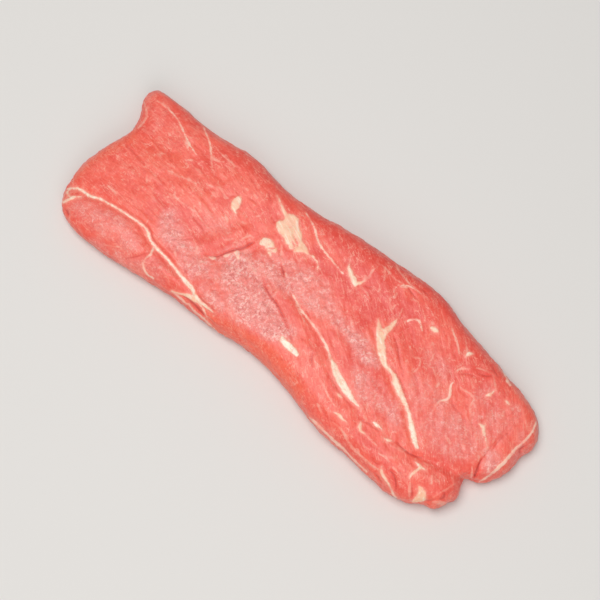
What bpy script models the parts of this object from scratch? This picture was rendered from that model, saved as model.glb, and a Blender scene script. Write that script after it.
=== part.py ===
"""Raw flat iron steak: one long, flat shoulder muscle, trimmed and lying on its flat face.

The steak is a pillow over a hand-cut outline. Seen from above, +X runs along its length, from the
eared end to the lobed end, and +Y runs across it, from the near edge to the far edge. A steep wall
follows the outline, and a rounded shoulder joins the wall to the gently domed top. Grooves sink
into the top where two muscles meet and where the meat is creased.
Run with: blender --background --python part.py
"""

import bpy
import bmesh
import numpy as np

MM = 0.001

# Driving dimensions, in millimetres.
LENGTH = 310.0
FOOT_HEIGHT = 3.2  # the underside curls up by this much along the outline
FOOT_WIDTH = 7.0  # and over this width
WALL_SHARE = 0.46  # share of the local thickness that the steep wall reaches
LOBED_WALL_SHARE = 0.30  # the cut face of the lobed end leans back more
FLAT_BELOW = 0.35  # what lies lower than this rests on the board and is pressed flat

# Local thickness of the meat at stations along the length: (x, thickness).
THICKNESS = [(-155, 15.0), (-120, 18.0), (-60, 20.5), (0, 21.8), (60, 22.3), (115, 20.5), (155, 16.5)]
FAR_EDGE_THINNER = 0.018  # the meat loses this much thickness for each millimetre towards +Y
# Soft swells on the top: (height, wavelength along X, wavelength along Y, phase in turns).
SWELLS = [(0.5, 131.0, 540.0, 0.10), (0.4, 83.0, -120.0, 0.35), (0.3, -210.0, 67.0, 0.60)]

# Width of the rounded shoulder beside each edge.
SHOULDER_FAR = 11.0
SHOULDER_NEAR = 12.0
SHOULDER_EAR_FLAP = 24.0  # the smooth flap at the near corner of the eared end slopes off slowly
EAR_FLAP = (-118.0, -44.0, 34.0)  # its centre (x, y) and reach
SHOULDER_LOBED_END = 8.0
LOBED_END_FROM = 128.0  # x at which the lobed end's tighter shoulder begins

# Grooves in the top: (depth, half of the width, points along the groove).
FLAP_SEAM = (
    1.7, 4.5,
    [(-150, -38), (-139, -33), (-122, -29), (-99, -27), (-88, -32), (-62, -34.5), (-40, -40)],
)
NOTCH_FOLD = (2.2, 4.0, [(138, -26), (141, -17), (138, -8), (139, 0)])
CROSS_CREASE = (1.0, 5.0, [(-43, 7), (-44, 1), (-49, -6), (-59, -17)])
SOFT_CREASE = (0.8, 5.0, [(-21, 7), (-8, 0), (2, -8)])
GROOVES = [FLAP_SEAM, NOTCH_FOLD, CROSS_CREASE, SOFT_CREASE]

# The outline, anticlockwise seen from above, in millimetres: (x, y). It is smooth all round but for
# the tip of the notch between the lobed end's two lobes.
NOTCH_TIP = (136.6, -23.3)
NEAR_EDGE = [
    (-147.0, -44.0), (-138.0, -50.3), (-112.0, -52.4), (-88.0, -49.6),
    (-60.0, -46.1), (-30.0, -44.9), (-3.0, -42.5), (22.0, -44.2),
    (44.0, -49.2), (63.0, -52.6), (101.0, -54.2), (118.0, -51.8),
]
LOBED_END = [
    (128.5, -45.2), (133.6, -44.2), (137.5, -36.5), (140.2, -28.5),
    NOTCH_TIP, (141.0, -20.0), (148.5, -12.0), (153.3, 1.0),
    (152.8, 9.0), (155.6, 19.5), (148.3, 32.4), (136.0, 37.9),
]
FAR_EDGE = [
    (122.0, 40.7), (84.0, 48.1), (59.0, 53.9), (25.0, 52.3),
    (-6.0, 49.7), (-32.0, 45.6), (-56.0, 46.5), (-76.0, 49.2),
    (-110.0, 45.6), (-144.5, 46.7),
]
EARED_END = [
    (-151.5, 44.8), (-154.5, 39.0), (-149.6, 29.0), (-144.5, 17.5),
    (-149.6, 0.0), (-153.1, -14.0), (-152.2, -32.0),
]
OUTLINE = NEAR_EDGE + LOBED_END + FAR_EDGE + EARED_END

# Mesh settings, in millimetres.
OUTLINE_STEPS = 6  # straight steps between two outline points
GRID = 3.0
VOXEL = 1.6
SMOOTH_PASSES = 8
TRIANGLES = 7000


def clear_scene():
    for old in list(bpy.data.objects):
        bpy.data.objects.remove(old)


def outline_polygon():
    """The closed outline as an (n, 2) array: a Bezier curve through the outline's points."""
    curve = bpy.data.curves.new("outline", "CURVE")
    curve.resolution_u = OUTLINE_STEPS
    spline = curve.splines.new("BEZIER")
    spline.bezier_points.add(len(OUTLINE) - 1)
    spline.use_cyclic_u = True
    for point, place in zip(spline.bezier_points, OUTLINE):
        point.co = (*place, 0.0)
        handle = "VECTOR" if place == NOTCH_TIP else "AUTO"
        point.handle_left_type = handle
        point.handle_right_type = handle
    guide = bpy.data.objects.new("outline_guide", curve)
    bpy.context.scene.collection.objects.link(guide)
    graph = bpy.context.evaluated_depsgraph_get()
    line = bpy.data.meshes.new_from_object(guide.evaluated_get(graph))
    points = np.array([v.co[:2] for v in line.vertices])
    bpy.data.objects.remove(guide)
    bpy.data.meshes.remove(line)
    low, high = points.min(axis=0), points.max(axis=0)
    return (points - (low + high) / 2) * LENGTH / (high - low)[0]


def distance_to_line(points, starts, ends):
    """How far each point lies from the nearest of the straight stretches from starts to ends."""
    nearest = np.full(len(points), np.inf)
    for corner, step in zip(starts, ends - starts):
        share = np.clip((points - corner) @ step / (step @ step), 0.0, 1.0)
        gap = np.linalg.norm(points - corner - share[:, None] * step, axis=1)
        nearest = np.minimum(nearest, gap)
    return nearest

def distance_to_outline(points, polygon):
    return distance_to_line(points, polygon, np.roll(polygon, -1, axis=0))


def ease(values, low, high):
    """0 below low, 1 above high and a smooth step between them."""
    share = np.clip((values - low) / (high - low), 0.0, 1.0)
    return share * share * (3.0 - 2.0 * share)


def thickness_at(x, y):
    stations = np.array(THICKNESS)
    slopes = np.gradient(stations[:, 1], stations[:, 0])
    span = np.clip(np.searchsorted(stations[:, 0], x) - 1, 0, len(stations) - 2)
    x0, x1 = stations[span, 0], stations[span + 1, 0]
    t = np.clip((x - x0) / (x1 - x0), 0.0, 1.0)
    height = (
        stations[span, 1] * (2 * t**3 - 3 * t**2 + 1)
        + slopes[span] * (x1 - x0) * (t**3 - 2 * t**2 + t)
        + stations[span + 1, 1] * (3 * t**2 - 2 * t**3)
        + slopes[span + 1] * (x1 - x0) * (t**3 - t**2)
    )
    height -= FAR_EDGE_THINNER * y
    for rise, along, across, phase in SWELLS:
        height += rise * np.sin(2 * np.pi * (x / along + y / across + phase))
    return height


def shoulder_at(x, y):
    width = SHOULDER_NEAR + (SHOULDER_FAR - SHOULDER_NEAR) * ease(y, -20.0, 20.0)
    flap_x, flap_y, reach = EAR_FLAP
    flap = 1.0 - ease(np.hypot(x - flap_x, y - flap_y), 0.4 * reach, 1.3 * reach)
    width += (SHOULDER_EAR_FLAP - width) * flap
    lobed = ease(x, LOBED_END_FROM - 8.0, LOBED_END_FROM + 12.0)
    return width + (SHOULDER_LOBED_END - width) * lobed


def wall_share_at(x):
    lobed = ease(x, LOBED_END_FROM, LOBED_END_FROM + 18.0)
    return WALL_SHARE + (LOBED_WALL_SHARE - WALL_SHARE) * lobed

def groove_depth_at(points):
    """How deep the grooves sink at each point: a soft valley along every route."""
    deepest = np.zeros(len(points))
    for depth, half_width, route in GROOVES:
        route = np.array(route, dtype=float)
        away = distance_to_line(points, route[:-1], route[1:])
        deepest = np.maximum(deepest, depth * (1.0 - ease(away, 0.0, half_width)))
    return deepest

def quarter_round(share):
    """Rises as a quarter of an ellipse, from 0 at the edge to 1 where the shoulder ends."""
    inner = 1.0 - np.clip(share, 0.0, 1.0)
    return np.sqrt(1.0 - inner * inner)


def flat_pattern(polygon):
    """A bmesh of the outline as one face, cut into a square grid so that its inside can be shaped."""
    bm = bmesh.new()
    bm.faces.new([bm.verts.new((x, y, 0.0)) for x, y in polygon])
    low, high = polygon.min(axis=0), polygon.max(axis=0)
    for axis in (0, 1):
        normal = [0.0, 0.0, 0.0]
        normal[axis] = 1.0
        for place in np.arange(low[axis] + GRID, high[axis], GRID):
            bmesh.ops.bisect_plane(
                bm,
                geom=bm.verts[:] + bm.edges[:] + bm.faces[:],
                dist=1e-4,
                plane_co=[place * n for n in normal],
                plane_no=normal,
            )
    return bm


def pillow_mesh(polygon):
    """The flat pattern thickened into a closed pillow, with its top domed and its underside flat."""
    bm = flat_pattern(polygon)
    grown = bmesh.ops.extrude_face_region(bm, geom=bm.faces[:])
    top = [v for v in grown["geom"] if isinstance(v, bmesh.types.BMVert)]
    lifted = set(top)
    foot = [v for v in bm.verts if v not in lifted]
    for side, verts in (("top", top), ("foot", foot)):
        places = np.array([v.co[:2] for v in verts])
        edge = distance_to_outline(places, polygon)
        thick = thickness_at(places[:, 0], places[:, 1])
        if side == "top":
            round_off = quarter_round(edge / shoulder_at(places[:, 0], places[:, 1]))
            wall = wall_share_at(places[:, 0])
            heights = thick * (wall + (1.0 - wall) * round_off) - groove_depth_at(places)
        else:
            heights = FOOT_HEIGHT * (1.0 - quarter_round(edge / FOOT_WIDTH))
        for vert, height in zip(verts, heights):
            vert.co.z = height
    bmesh.ops.recalc_face_normals(bm, faces=bm.faces[:])
    mesh = bpy.data.meshes.new("pillow")
    bm.to_mesh(mesh)
    bm.free()
    return mesh


def rounded_mesh(mesh):
    """The pillow remeshed evenly and relaxed, which rounds the wall's edges as soft meat is rounded."""
    rough = bpy.data.objects.new("rough", mesh)
    bpy.context.scene.collection.objects.link(rough)
    remesh = rough.modifiers.new("even", "REMESH")
    remesh.mode = "VOXEL"
    remesh.voxel_size = VOXEL
    relax = rough.modifiers.new("relax", "SMOOTH")
    relax.factor = 0.5
    relax.iterations = SMOOTH_PASSES
    graph = bpy.context.evaluated_depsgraph_get()
    rounded = bpy.data.meshes.new_from_object(rough.evaluated_get(graph))
    bpy.data.objects.remove(rough)
    return rounded


def set_down(mesh):
    """Presses the base flat, centres the outline's box on the origin and turns millimetres to metres."""
    places = np.array([v.co for v in mesh.vertices])
    places[places[:, 2] < FLAT_BELOW, 2] = 0.0
    low, high = places.min(axis=0), places.max(axis=0)
    middle = (low + high) / 2
    places[:, :2] = (places[:, :2] - middle[:2]) * LENGTH / (high - low)[0]
    mesh.vertices.foreach_set("co", (places * MM).ravel())
    mesh.update()


def thinned_mesh(mesh):
    """The same surface on TRIANGLES triangles, the smallest where it curves most."""
    dense = bpy.data.objects.new("dense", mesh)
    bpy.context.scene.collection.objects.link(dense)
    thin = dense.modifiers.new("thin", "DECIMATE")
    thin.ratio = TRIANGLES / (2.0 * len(mesh.polygons))
    thin.use_collapse_triangulate = True
    graph = bpy.context.evaluated_depsgraph_get()
    thinned = bpy.data.meshes.new_from_object(dense.evaluated_get(graph))
    bpy.data.objects.remove(dense)
    return thinned


def raw_meat():
    material = bpy.data.materials.new("raw_meat")
    material.use_nodes = True
    shader = material.node_tree.nodes["Principled BSDF"]
    shader.inputs["Base Color"].default_value = (0.80, 0.16, 0.12, 1.0)
    shader.inputs["Roughness"].default_value = 0.38
    shader.inputs["Metallic"].default_value = 0.0
    return material


def make_steak():
    mesh = rounded_mesh(pillow_mesh(outline_polygon()))
    set_down(mesh)
    thinned = thinned_mesh(mesh)
    centre_exactly(thinned)
    thinned.name = "steak"
    thinned.shade_smooth()
    thinned.materials.append(raw_meat())
    steak = bpy.data.objects.new("steak", thinned)
    bpy.context.scene.collection.objects.link(steak)


def centre_exactly(mesh):
    """Thinning moves the outermost points a little, so the box is centred again afterwards."""
    places = np.array([v.co for v in mesh.vertices])
    low, high = places.min(axis=0), places.max(axis=0)
    places[:, :2] -= ((low + high) / 2)[:2]
    mesh.vertices.foreach_set("co", places.ravel())
    mesh.update()


clear_scene()
make_steak()
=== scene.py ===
# %% [markdown]
# # A raw flat iron steak
# A flat iron is the top blade muscle of a beef shoulder, split along its middle tendon and trimmed.
# It is one long, flat piece of muscle with a soft grain, a few seams, pieces of cream fat, and
# patches of thin pale film where the skin between two muscles was peeled off.
#
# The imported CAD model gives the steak's size and place. This script keeps both and makes the looks:
# an even, fine mesh over the CAD solid, sculpted by code, with one layered material.

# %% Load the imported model
import math

import bmesh
import bpy
import numpy as np
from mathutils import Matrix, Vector, noise


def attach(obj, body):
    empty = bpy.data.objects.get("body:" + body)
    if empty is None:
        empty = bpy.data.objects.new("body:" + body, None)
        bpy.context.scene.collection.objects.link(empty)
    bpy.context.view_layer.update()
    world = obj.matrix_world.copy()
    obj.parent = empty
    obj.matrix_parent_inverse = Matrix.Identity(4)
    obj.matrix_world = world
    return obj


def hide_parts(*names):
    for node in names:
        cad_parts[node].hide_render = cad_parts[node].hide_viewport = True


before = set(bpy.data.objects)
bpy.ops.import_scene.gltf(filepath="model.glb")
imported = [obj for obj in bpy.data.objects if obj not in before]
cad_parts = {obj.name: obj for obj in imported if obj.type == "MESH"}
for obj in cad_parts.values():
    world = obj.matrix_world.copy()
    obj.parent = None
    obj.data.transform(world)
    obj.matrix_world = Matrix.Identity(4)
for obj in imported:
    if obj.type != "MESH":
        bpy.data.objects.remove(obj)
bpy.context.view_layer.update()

# %% [markdown]
# ## Units and colours
# Blender's unit is the metre, but meat is easier to think of in millimetres, so every size below is
# in millimetres and is turned to metres where Blender gets it. Colours are written as the sRGB hex
# values that a colour picker shows. Blender's shaders work with linear light, so one function
# converts them.

# %% Units and colours
MM = 0.001


def linear(hex_colour):
    """The linear RGBA colour of an sRGB hex value such as "f2776b"."""
    channels = [int(hex_colour[i:i + 2], 16) / 255 for i in (0, 2, 4)]
    return (*[c / 12.92 if c <= 0.04045 else ((c + 0.055) / 1.055) ** 2.4 for c in channels], 1.0)


print("mid grey, 808080, in linear light:", round(linear("808080")[0], 3))

# %% [markdown]
# ## The camera
# The steak is seen from high above, turned so that it lies from the upper left to the lower right.
# An azimuth and an elevation say this better than angles about three axes: the camera backs away
# from its target along that direction and looks straight back at it.

# %% The camera
AZIMUTH = math.radians(40)
ELEVATION = math.radians(75)
LENS = 90.0
DISTANCE = 864.9
TARGET = Vector((-1.1, -0.3, 10.0))

camera_data = bpy.data.cameras.new("camera")
camera_data.lens = LENS
camera_data.sensor_width = 36.0
camera_data.clip_end = 10.0
camera = bpy.data.objects.new("camera", camera_data)
bpy.context.scene.collection.objects.link(camera)
backwards = Vector((
    math.sin(AZIMUTH) * math.cos(ELEVATION),
    -math.cos(AZIMUTH) * math.cos(ELEVATION),
    math.sin(ELEVATION),
))
viewpoint = TARGET + DISTANCE * backwards
camera.location = viewpoint * MM
camera.rotation_euler = backwards.to_track_quat("Z", "Y").to_euler()
bpy.context.scene.camera = camera
print("camera at, mm:", [round(c, 1) for c in viewpoint])

# %% [markdown]
# ## An even mesh over the CAD solid
# The CAD solid is a few thousand long triangles, which can't carry fibres or the edge of a sliver of
# fat. A voxel remesh lays even squares over it, and a few smoothing passes take off the facets.

# %% An even mesh over the CAD solid
VOXEL = 1.52
RELAX_PASSES = 10

steak = bpy.data.objects.new("steak_meat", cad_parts["steak"].data.copy())
steak.data.materials.clear()
bpy.context.scene.collection.objects.link(steak)
shape = bmesh.new()
shape.from_mesh(steak.data)
bmesh.ops.remove_doubles(shape, verts=shape.verts[:], dist=0.001 * MM)
shape.to_mesh(steak.data)
shape.free()

remesh = steak.modifiers.new("even_squares", "REMESH")
remesh.mode = "VOXEL"
remesh.voxel_size = VOXEL * MM
relax = steak.modifiers.new("relax", "SMOOTH")
relax.factor = 0.5
relax.iterations = RELAX_PASSES
evened = bpy.data.meshes.new_from_object(steak.evaluated_get(bpy.context.evaluated_depsgraph_get()))
steak.modifiers.clear()
steak.data = evened
print("even mesh:", len(evened.vertices), "points")

# %% [markdown]
# Sculpting needs its smallest squares where it shows, so the top and the walls are cut to half the
# size, and the underside stays coarser. That keeps the piece under 200,000 triangles.

# %% Smaller squares on the top and the walls
FINE_ABOVE = -0.45  # points whose normals point further up than this lie on finer squares
SMOOTH_PASSES = 2

shape = bmesh.new()
shape.from_mesh(evened)
shape.normal_update()
fine = [e for e in shape.edges if all(v.normal.z > FINE_ABOVE for v in e.verts)]
bmesh.ops.subdivide_edges(shape, edges=fine, cuts=1, use_grid_fill=True)
shape.normal_update()
finer = [v for v in shape.verts if v.normal.z > FINE_ABOVE]
for _ in range(SMOOTH_PASSES):
    bmesh.ops.smooth_vert(
        shape, verts=finer, factor=0.5, use_axis_x=True, use_axis_y=True, use_axis_z=True
    )
shape.normal_update()
shape.to_mesh(evened)
shape.free()
triangles = sum(len(p.vertices) - 2 for p in evened.polygons)
print("steak mesh:", len(evened.vertices), "points,", triangles, "triangles")

# %% [markdown]
# The voxels fill the bottom of the notch between the two lobes, and the near edge is up to 1.5 mm off
# in places. Here the points near such a place are pushed sideways, most at its centre and not at all
# beyond its reach, as with a sculptor's grab brush.

# %% Pushing the edge into place
PUSHES = [  # (x, y, reach, push along x, push along y), in mm
    (139.5, -24.0, 9.0, -2.4, 3.2),
    (133.5, -46.0, 7.0, 0.3, -0.8),
    (77.0, -55.0, 26.0, 0.0, 1.5),
    (0.0, -50.0, 40.0, 0.0, 0.7),
]

count = len(evened.vertices)
points = np.empty(count * 3)
evened.vertices.foreach_get("co", points)
points = points.reshape(-1, 3) / MM
for x, y, reach, push_x, push_y in PUSHES:
    away = np.hypot(points[:, 0] - x, points[:, 1] - y)
    share = np.clip(1.0 - (away / reach) ** 2, 0.0, 1.0) ** 2
    points[:, :2] += share[:, None] * (push_x, push_y)
evened.vertices.foreach_set("co", (points * MM).ravel())
evened.update()
print("pushed at", len(PUSHES), "places")

# %% [markdown]
# ## A sheet to draw on
# Fat, seams and creases are drawn on a flat sheet at the height of the steak's top, in millimetres
# from the steak's centre. The sheet is laid onto the meat as a slide projector would lay it, along
# lines from a point high above, so that a line which runs over an edge carries on down the side.

# %% A sheet to draw on
SHEET_HEIGHT = 20.0


def ease(values, low, high):
    """0 below low, 1 above high and a smooth step between them."""
    share = np.clip((values - low) / (high - low), 0.0, 1.0)
    return share * share * (3.0 - 2.0 * share)


normals = np.empty(count * 3)
evened.vertices.foreach_get("normal", normals)
normals = normals.reshape(-1, 3)

projector = np.array(viewpoint)
rays = points - projector
sheet = (projector + rays * ((SHEET_HEIGHT - projector[2]) / rays[:, 2])[:, None])[:, :2]
facing = -np.einsum("ij,ij->i", normals, rays / np.linalg.norm(rays, axis=1)[:, None])
lit = ease(facing, 0.02, 0.2)  # 1 where the sheet reaches the meat, 0 on the far side and below
print("points the sheet reaches:", int((lit > 0.5).sum()))

# %% [markdown]
# Two kinds of drawing are enough. A stroke is a route of a few points (x, y, width), as a brush would
# make it, and an outline is a closed line of points (x, y) round a piece with a shape of its own. A
# Catmull-Rom curve runs smoothly through the points of both. Each is then turned into a distance: how
# far inside the drawn shape every point of the mesh lies.

# %% A smooth route through points
def smooth_route(knots, step=1.5, closed=False):
    """Points about a step apart on a Catmull-Rom curve through the knots."""
    knots = np.array(knots, dtype=float)
    if closed:
        knots = np.vstack([knots[-1], knots, knots[0], knots[1]])
    else:
        knots = np.vstack([2 * knots[0] - knots[1], knots, 2 * knots[-1] - knots[-2]])
    line = []
    for before, start, end, after in zip(knots, knots[1:], knots[2:], knots[3:]):
        pieces = max(1, round(np.linalg.norm((end - start)[:2]) / step))
        for t in np.arange(pieces) / pieces:
            line.append(0.5 * (
                2 * start + (end - before) * t + (2 * before - 5 * start + 4 * end - after) * t**2
                + (3 * start - before - 3 * end + after) * t**3
            ))
    line.append(knots[-2])
    return np.array(line)


print("points on a route of 10 mm:", len(smooth_route([(0, 0), (5, 1), (10, 0)])))


# %% How far inside a stroke a place lies
def lay_strokes(places, strokes, reach):
    """How far inside the nearest stroke each place lies, in mm (less than 0 outside), and which one.

    Places further outside than reach all get -reach.
    """
    inside = np.full(len(places), -float(reach))
    which = np.zeros(len(places), dtype=int)
    for number, stroke in enumerate(strokes):
        line = smooth_route(stroke)
        widths = np.maximum(line[:, 2], 0.05)
        margin = reach + widths.max() / 2
        low, high = line[:, :2].min(axis=0) - margin, line[:, :2].max(axis=0) + margin
        near = np.flatnonzero(((places > low) & (places < high)).all(axis=1))
        here = places[near]
        for start, end, wide, wider in zip(line[:-1, :2], line[1:, :2], widths[:-1], widths[1:]):
            run = end - start
            share = np.clip((here - start) @ run / max(run @ run, 1e-9), 0.0, 1.0)
            away = np.linalg.norm(here - start - share[:, None] * run, axis=1)
            depth = (wide + share * (wider - wide)) / 2 - away
            better = depth > inside[near]
            inside[near[better]] = depth[better]
            which[near[better]] = number
    return inside, which


example, _ = lay_strokes(np.array([[5.0, 1.0]]), [[(0, 0, 4), (10, 0, 4)]], 6.0)
print("1 mm off the middle of a 4 mm stroke is inside it by, mm:", example[0])


# %% How far inside an outline a place lies
def lay_outline(places, outline, reach):
    """How far inside the closed outline each place lies, in mm, and less than 0 outside it."""
    line = smooth_route(outline, step=1.0, closed=True)
    edge = [(x, y, 0.0) for x, y in line]
    away = -lay_strokes(places, [edge], reach)[0]
    away[away < 0.03] = 0.0  # the edge itself counts as a line 0.05 mm wide
    crossings = np.zeros(len(places), dtype=int)
    for (x1, y1), (x2, y2) in zip(line[:-1], line[1:]):
        if y1 != y2:
            between = (places[:, 1] >= min(y1, y2)) & (places[:, 1] < max(y1, y2))
            crossings += between & (places[:, 0] < x1 + (places[:, 1] - y1) * (x2 - x1) / (y2 - y1))
    return np.where(crossings % 2 == 1, away, -away)


example = lay_outline(np.array([[5.0, 2.0]]), [(0, 0), (10, 0), (10, 10), (0, 10)], 6.0)
print("a place near the side of a round shape is inside it by, mm: %.1f" % example[0])

# %% [markdown]
# ## Fat
# Fat lies on and between the muscles. The big pieces have shapes of their own, so they are outlines:
# a ragged patch with a tail, a smaller patch beside it, a fork with a long stem, and a long sliver.

# %% The big pieces of fat
RAGGED_PATCH = [
    (-38, 32.6), (-36, 33.8), (-33.5, 34.5), (-31.4, 34.3), (-30, 33.2), (-28.4, 31.6), (-27, 30.2),
    (-25.4, 29.3), (-23.9, 28.5), (-22.6, 27.2), (-21.5, 25.9), (-20, 25), (-18, 24.3), (-16, 24),
    (-14.6, 22.7), (-12.5, 22.1), (-10.5, 22.4), (-9, 22.7), (-10.2, 21.9), (-12, 21.3), (-14, 21),
    (-15.6, 20.7), (-17, 19.5), (-19, 18.3), (-20.4, 17.2), (-21.4, 18.4), (-22.8, 17.2), (-24.4, 17.3),
    (-25.2, 18.6), (-26.8, 17.8), (-28.5, 19), (-30.5, 19.9), (-33, 20.5), (-35.5, 21), (-37.5, 21.8),
    (-39, 23.3), (-39.5, 24.8), (-39, 26.4), (-37.6, 27.7), (-37.4, 28.9), (-38.7, 30), (-39.7, 31),
]
SIDE_PATCH = [
    (-39.5, 12), (-38, 13.7), (-36, 14.2), (-34, 14.1), (-32, 13.4), (-30.8, 12.2), (-29.6, 12.2),
    (-28.4, 11.3), (-28, 10), (-29.4, 9.4), (-30, 8.6), (-29, 7.6), (-28.3, 6.4), (-29.2, 6.3),
    (-30.6, 7.3), (-31.4, 6.8), (-32.4, 8.2), (-33.6, 9), (-34.4, 8), (-35.4, 9), (-37, 8.2), (-38.6, 7.6),
    (-39.3, 9),
]
FORK = [
    (50, 25), (51, 22.5), (51.4, 20), (51.6, 17), (51.6, 14), (52, 11.5), (53.4, 9.2), (56, 7),
    (58.4, 4.6), (60.5, 2.2), (63, 0.5), (66, -0.4), (69, -0.8), (72, -2), (75, -3.8), (79, -6),
    (83, -8.3), (87, -10.7), (90.5, -13), (94, -15.6), (99, -19.3), (103, -22.6), (106, -25.3),
    (104.6, -26), (102, -25.4), (98.5, -23), (96, -21), (93.5, -19), (91.5, -17), (88.5, -14.4),
    (85.5, -12.3), (82, -10.9), (78, -9.3), (74, -7.6), (71.5, -6.2), (69.4, -4), (67.4, -2.3),
    (64, -1.9), (60, -1.3), (57, 0.4), (54.5, 2), (52, 4), (50, 6.6), (47.4, 9), (45.6, 11.2),
    (44.2, 13.4), (42.9, 15.6), (41.4, 17.7), (43.4, 17), (45.6, 15.5), (47.4, 15), (48.4, 17),
    (49, 20), (49.5, 23),
]
LONG_SLIVER = [
    (35, -16.2), (38, -17.2), (41, -18.1), (44, -19.5), (47, -20.8), (51, -22.3), (55, -24),
    (58.5, -25.5), (62, -27), (65, -28.1), (66.8, -28.8), (64.5, -29.1), (61, -29.1), (58, -28.7),
    (54.5, -28), (51, -27.2), (47.5, -26), (44.5, -24.6), (42, -23.1), (39.5, -21.4), (37.3, -19.3),
    (35.6, -17.6),
]
print("points round the ragged patch and the fork:", len(RAGGED_PATCH), len(FORK))

# %% [markdown]
# The smaller pieces are strokes whose widths swell and taper: a drop, a bar, ticks, spots, and the
# cord of fat in the seam between the main muscle and the flap at the eared end. Each piece has a
# tone, from 0 for fat that the wet meat shows through, to 1 for thick white fat. One white spot is
# no fat but a painted highlight, the glint on a wet bead, drawn at tone 1. The gaps are where meat
# shows between lobes of the two patches.

# %% The smaller pieces of fat
SMALL_FAT_AND_GLINT = [  # (tone, stroke)
    (0.5, [(-65.9, 22.8, 1.2), (-65.6, 20.8, 4.2), (-65, 18.2, 5.6), (-64.2, 16, 4.4), (-62.8, 14.3, 1.8),
           (-61, 13.2, 0.6)]),
    (0.5, [(-50, 37.2, 0.4), (-46, 35.2, 1.0), (-42.5, 33.4, 1.6), (-39, 31.6, 2.2), (-37, 30.4, 2.6)]),
    (0.6, [(-10.5, 22.4, 1.0), (-8, 21.8, 0.9), (-5, 20.4, 0.7), (-2.8, 17.2, 0.5)]),
    (0.7, [(8.4, 32.8, 0.4), (10.0, 30.3, 1.8), (12.8, 28.3, 2.8), (16, 26.7, 3.2), (18.6, 25.1, 3.1),
           (19.9, 23.8, 1.3)]),
    (0.5, [(18.8, 25.8, 2.6), (20.8, 27.6, 1.6), (21.6, 29.8, 0.7)]),
    (1.0, [(6.7, -25.6, 1.2), (8.4, -26.8, 3.4), (12, -27.1, 3.9), (16, -27.4, 3.7), (19.6, -27.9, 2.6)]),
    (0.6, [(68.6, 33.2, 2.6), (71.4, 33.5, 2.6)]),
    (0.7, [(95.4, 36.5, 0.8), (93.9, 35.0, 2.4), (93.6, 32.3, 0.5)]),
    (0.6, [(118.3, 28, 0.5), (117.6, 25.6, 1.2), (117.2, 23.8, 2.4), (116.5, 22.4, 1.0)]),
    (0.7, [(123, 7.0, 0.5), (125.6, 6.9, 1.8), (127.6, 5.6, 1.6), (130.2, 3.4, 1.0), (135.6, -1.0, 0.4)]),
    (0.6, [(125.2, 10.4, 0.4), (126.2, 8.2, 0.9), (126.6, 6.0, 1.4), (128.6, 3.2, 0.4)]),
    (0.35, [(119.6, -41.8, 1.2), (122.6, -43.4, 4.6), (123.9, -45.2, 5.2), (122.8, -47.8, 3.2),
            (121.8, -50, 1.2)]),
    (0.6, [(109, -32.2, 0.6), (113, -32.6, 1.4), (116.4, -32.1, 0.6)]),
    (0.6, [(113.4, -32.8, 1.4), (112.6, -36, 1.4), (112.1, -38.6, 1.9), (112.3, -41.4, 0.6)]),
    (0.6, [(88, -33.3, 0.9), (89.7, -32.7, 2.0), (91.5, -31.8, 0.9)]),
    (0.6, [(57.2, -39.9, 0.5), (60.2, -39.2, 1.6), (62.6, -39.8, 1.3), (66.2, -39.7, 0.5)]),
    (0.5, [(72.0, -34.6, 0.7), (73.2, -37, 2.0), (74.8, -38.3, 1.4), (78, -38.4, 0.6)]),
    (0.6, [(96.2, -46.4, 0.4), (98.0, -48.6, 1.6), (101, -50, 1.9), (104.5, -50.9, 1.2),
           (108.6, -52.4, 0.7)]),
    (0.5, [(51, -30.2, 0.5), (53, -30.6, 1.1), (55, -30.8, 0.5)]),
    (0.5, [(126.2, 27.0, 0.9), (127.6, 26.8, 1.5), (129, 26.6, 0.8)]),
    # painted highlight: the white glint on a wet bead, drawn as white fat over a small raised bump
    (1.0, [(77.6, -30.1, 1.4), (79.4, -30.2, 2.2), (81.6, -30.2, 1.5), (83.6, -30.2, 0.4)]),
    (0.8, [(-146.7, -38.9, 1.0), (-145.3, -36.7, 1.2), (-143.6, -35.2, 1.4), (-141.4, -33.8, 1.5),
           (-138, -33.2, 1.5), (-134, -32.9, 1.6), (-131.8, -32.3, 1.8), (-129.8, -31.1, 1.6),
           (-127, -30.2, 1.4), (-120, -28.7, 1.2), (-111.5, -27.6, 1.2), (-103.3, -26.8, 1.2),
           (-98.5, -26.5, 1.3), (-95.8, -26.7, 1.5), (-93.2, -27.7, 1.6), (-90.6, -29.2, 1.7),
           (-88, -30.5, 1.5), (-84.5, -31.4, 1.4), (-80.4, -31.9, 1.2), (-75.4, -32.4, 1.2),
           (-71, -33.1, 1.3), (-66, -34, 1.6), (-61, -35.1, 2.0), (-56, -35.9, 2.4), (-52.4, -36.5, 2.4),
           (-49.6, -37.7, 2.2), (-46.6, -39.1, 2.0), (-43, -39.8, 1.9), (-38, -39.9, 1.7),
           (-32, -39.5, 0.5)]),
    (0.5, [(-42.6, -40.9, 1.0), (-45.6, -41.0, 2.6), (-49, -41.3, 2.8), (-53.2, -43.1, 1.6),
           (-58.8, -45.2, 0.7)]),
    (0.7, [(-136.8, -36.6, 0.6), (-139.4, -39.4, 1.5), (-140.8, -42.4, 1.7), (-142, -45.6, 1.2)]),
    (0.6, [(-144.8, -36.8, 0.9), (-144.6, -39.6, 0.9), (-142.2, -40.6, 1.0), (-140.2, -40.6, 0.8)]),
]
FAT_GAPS = [
    [(-27.6, 25.0, 0.4), (-24.4, 23.6, 1.1), (-20.6, 21.2, 0.5)],
    [(-25.4, 21.6, 0.3), (-23.0, 20.4, 0.8), (-21.2, 19.2, 0.4)],
    [(-33.0, 9.4, 0.4), (-31.9, 10.4, 1.0), (-30.6, 11.5, 0.4)],
    [(-30.8, 9.4, 0.4), (-31.8, 8.6, 0.7), (-32.4, 7.6, 0.4)],
]
print("smaller pieces of fat:", len(SMALL_FAT_AND_GLINT))

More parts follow.
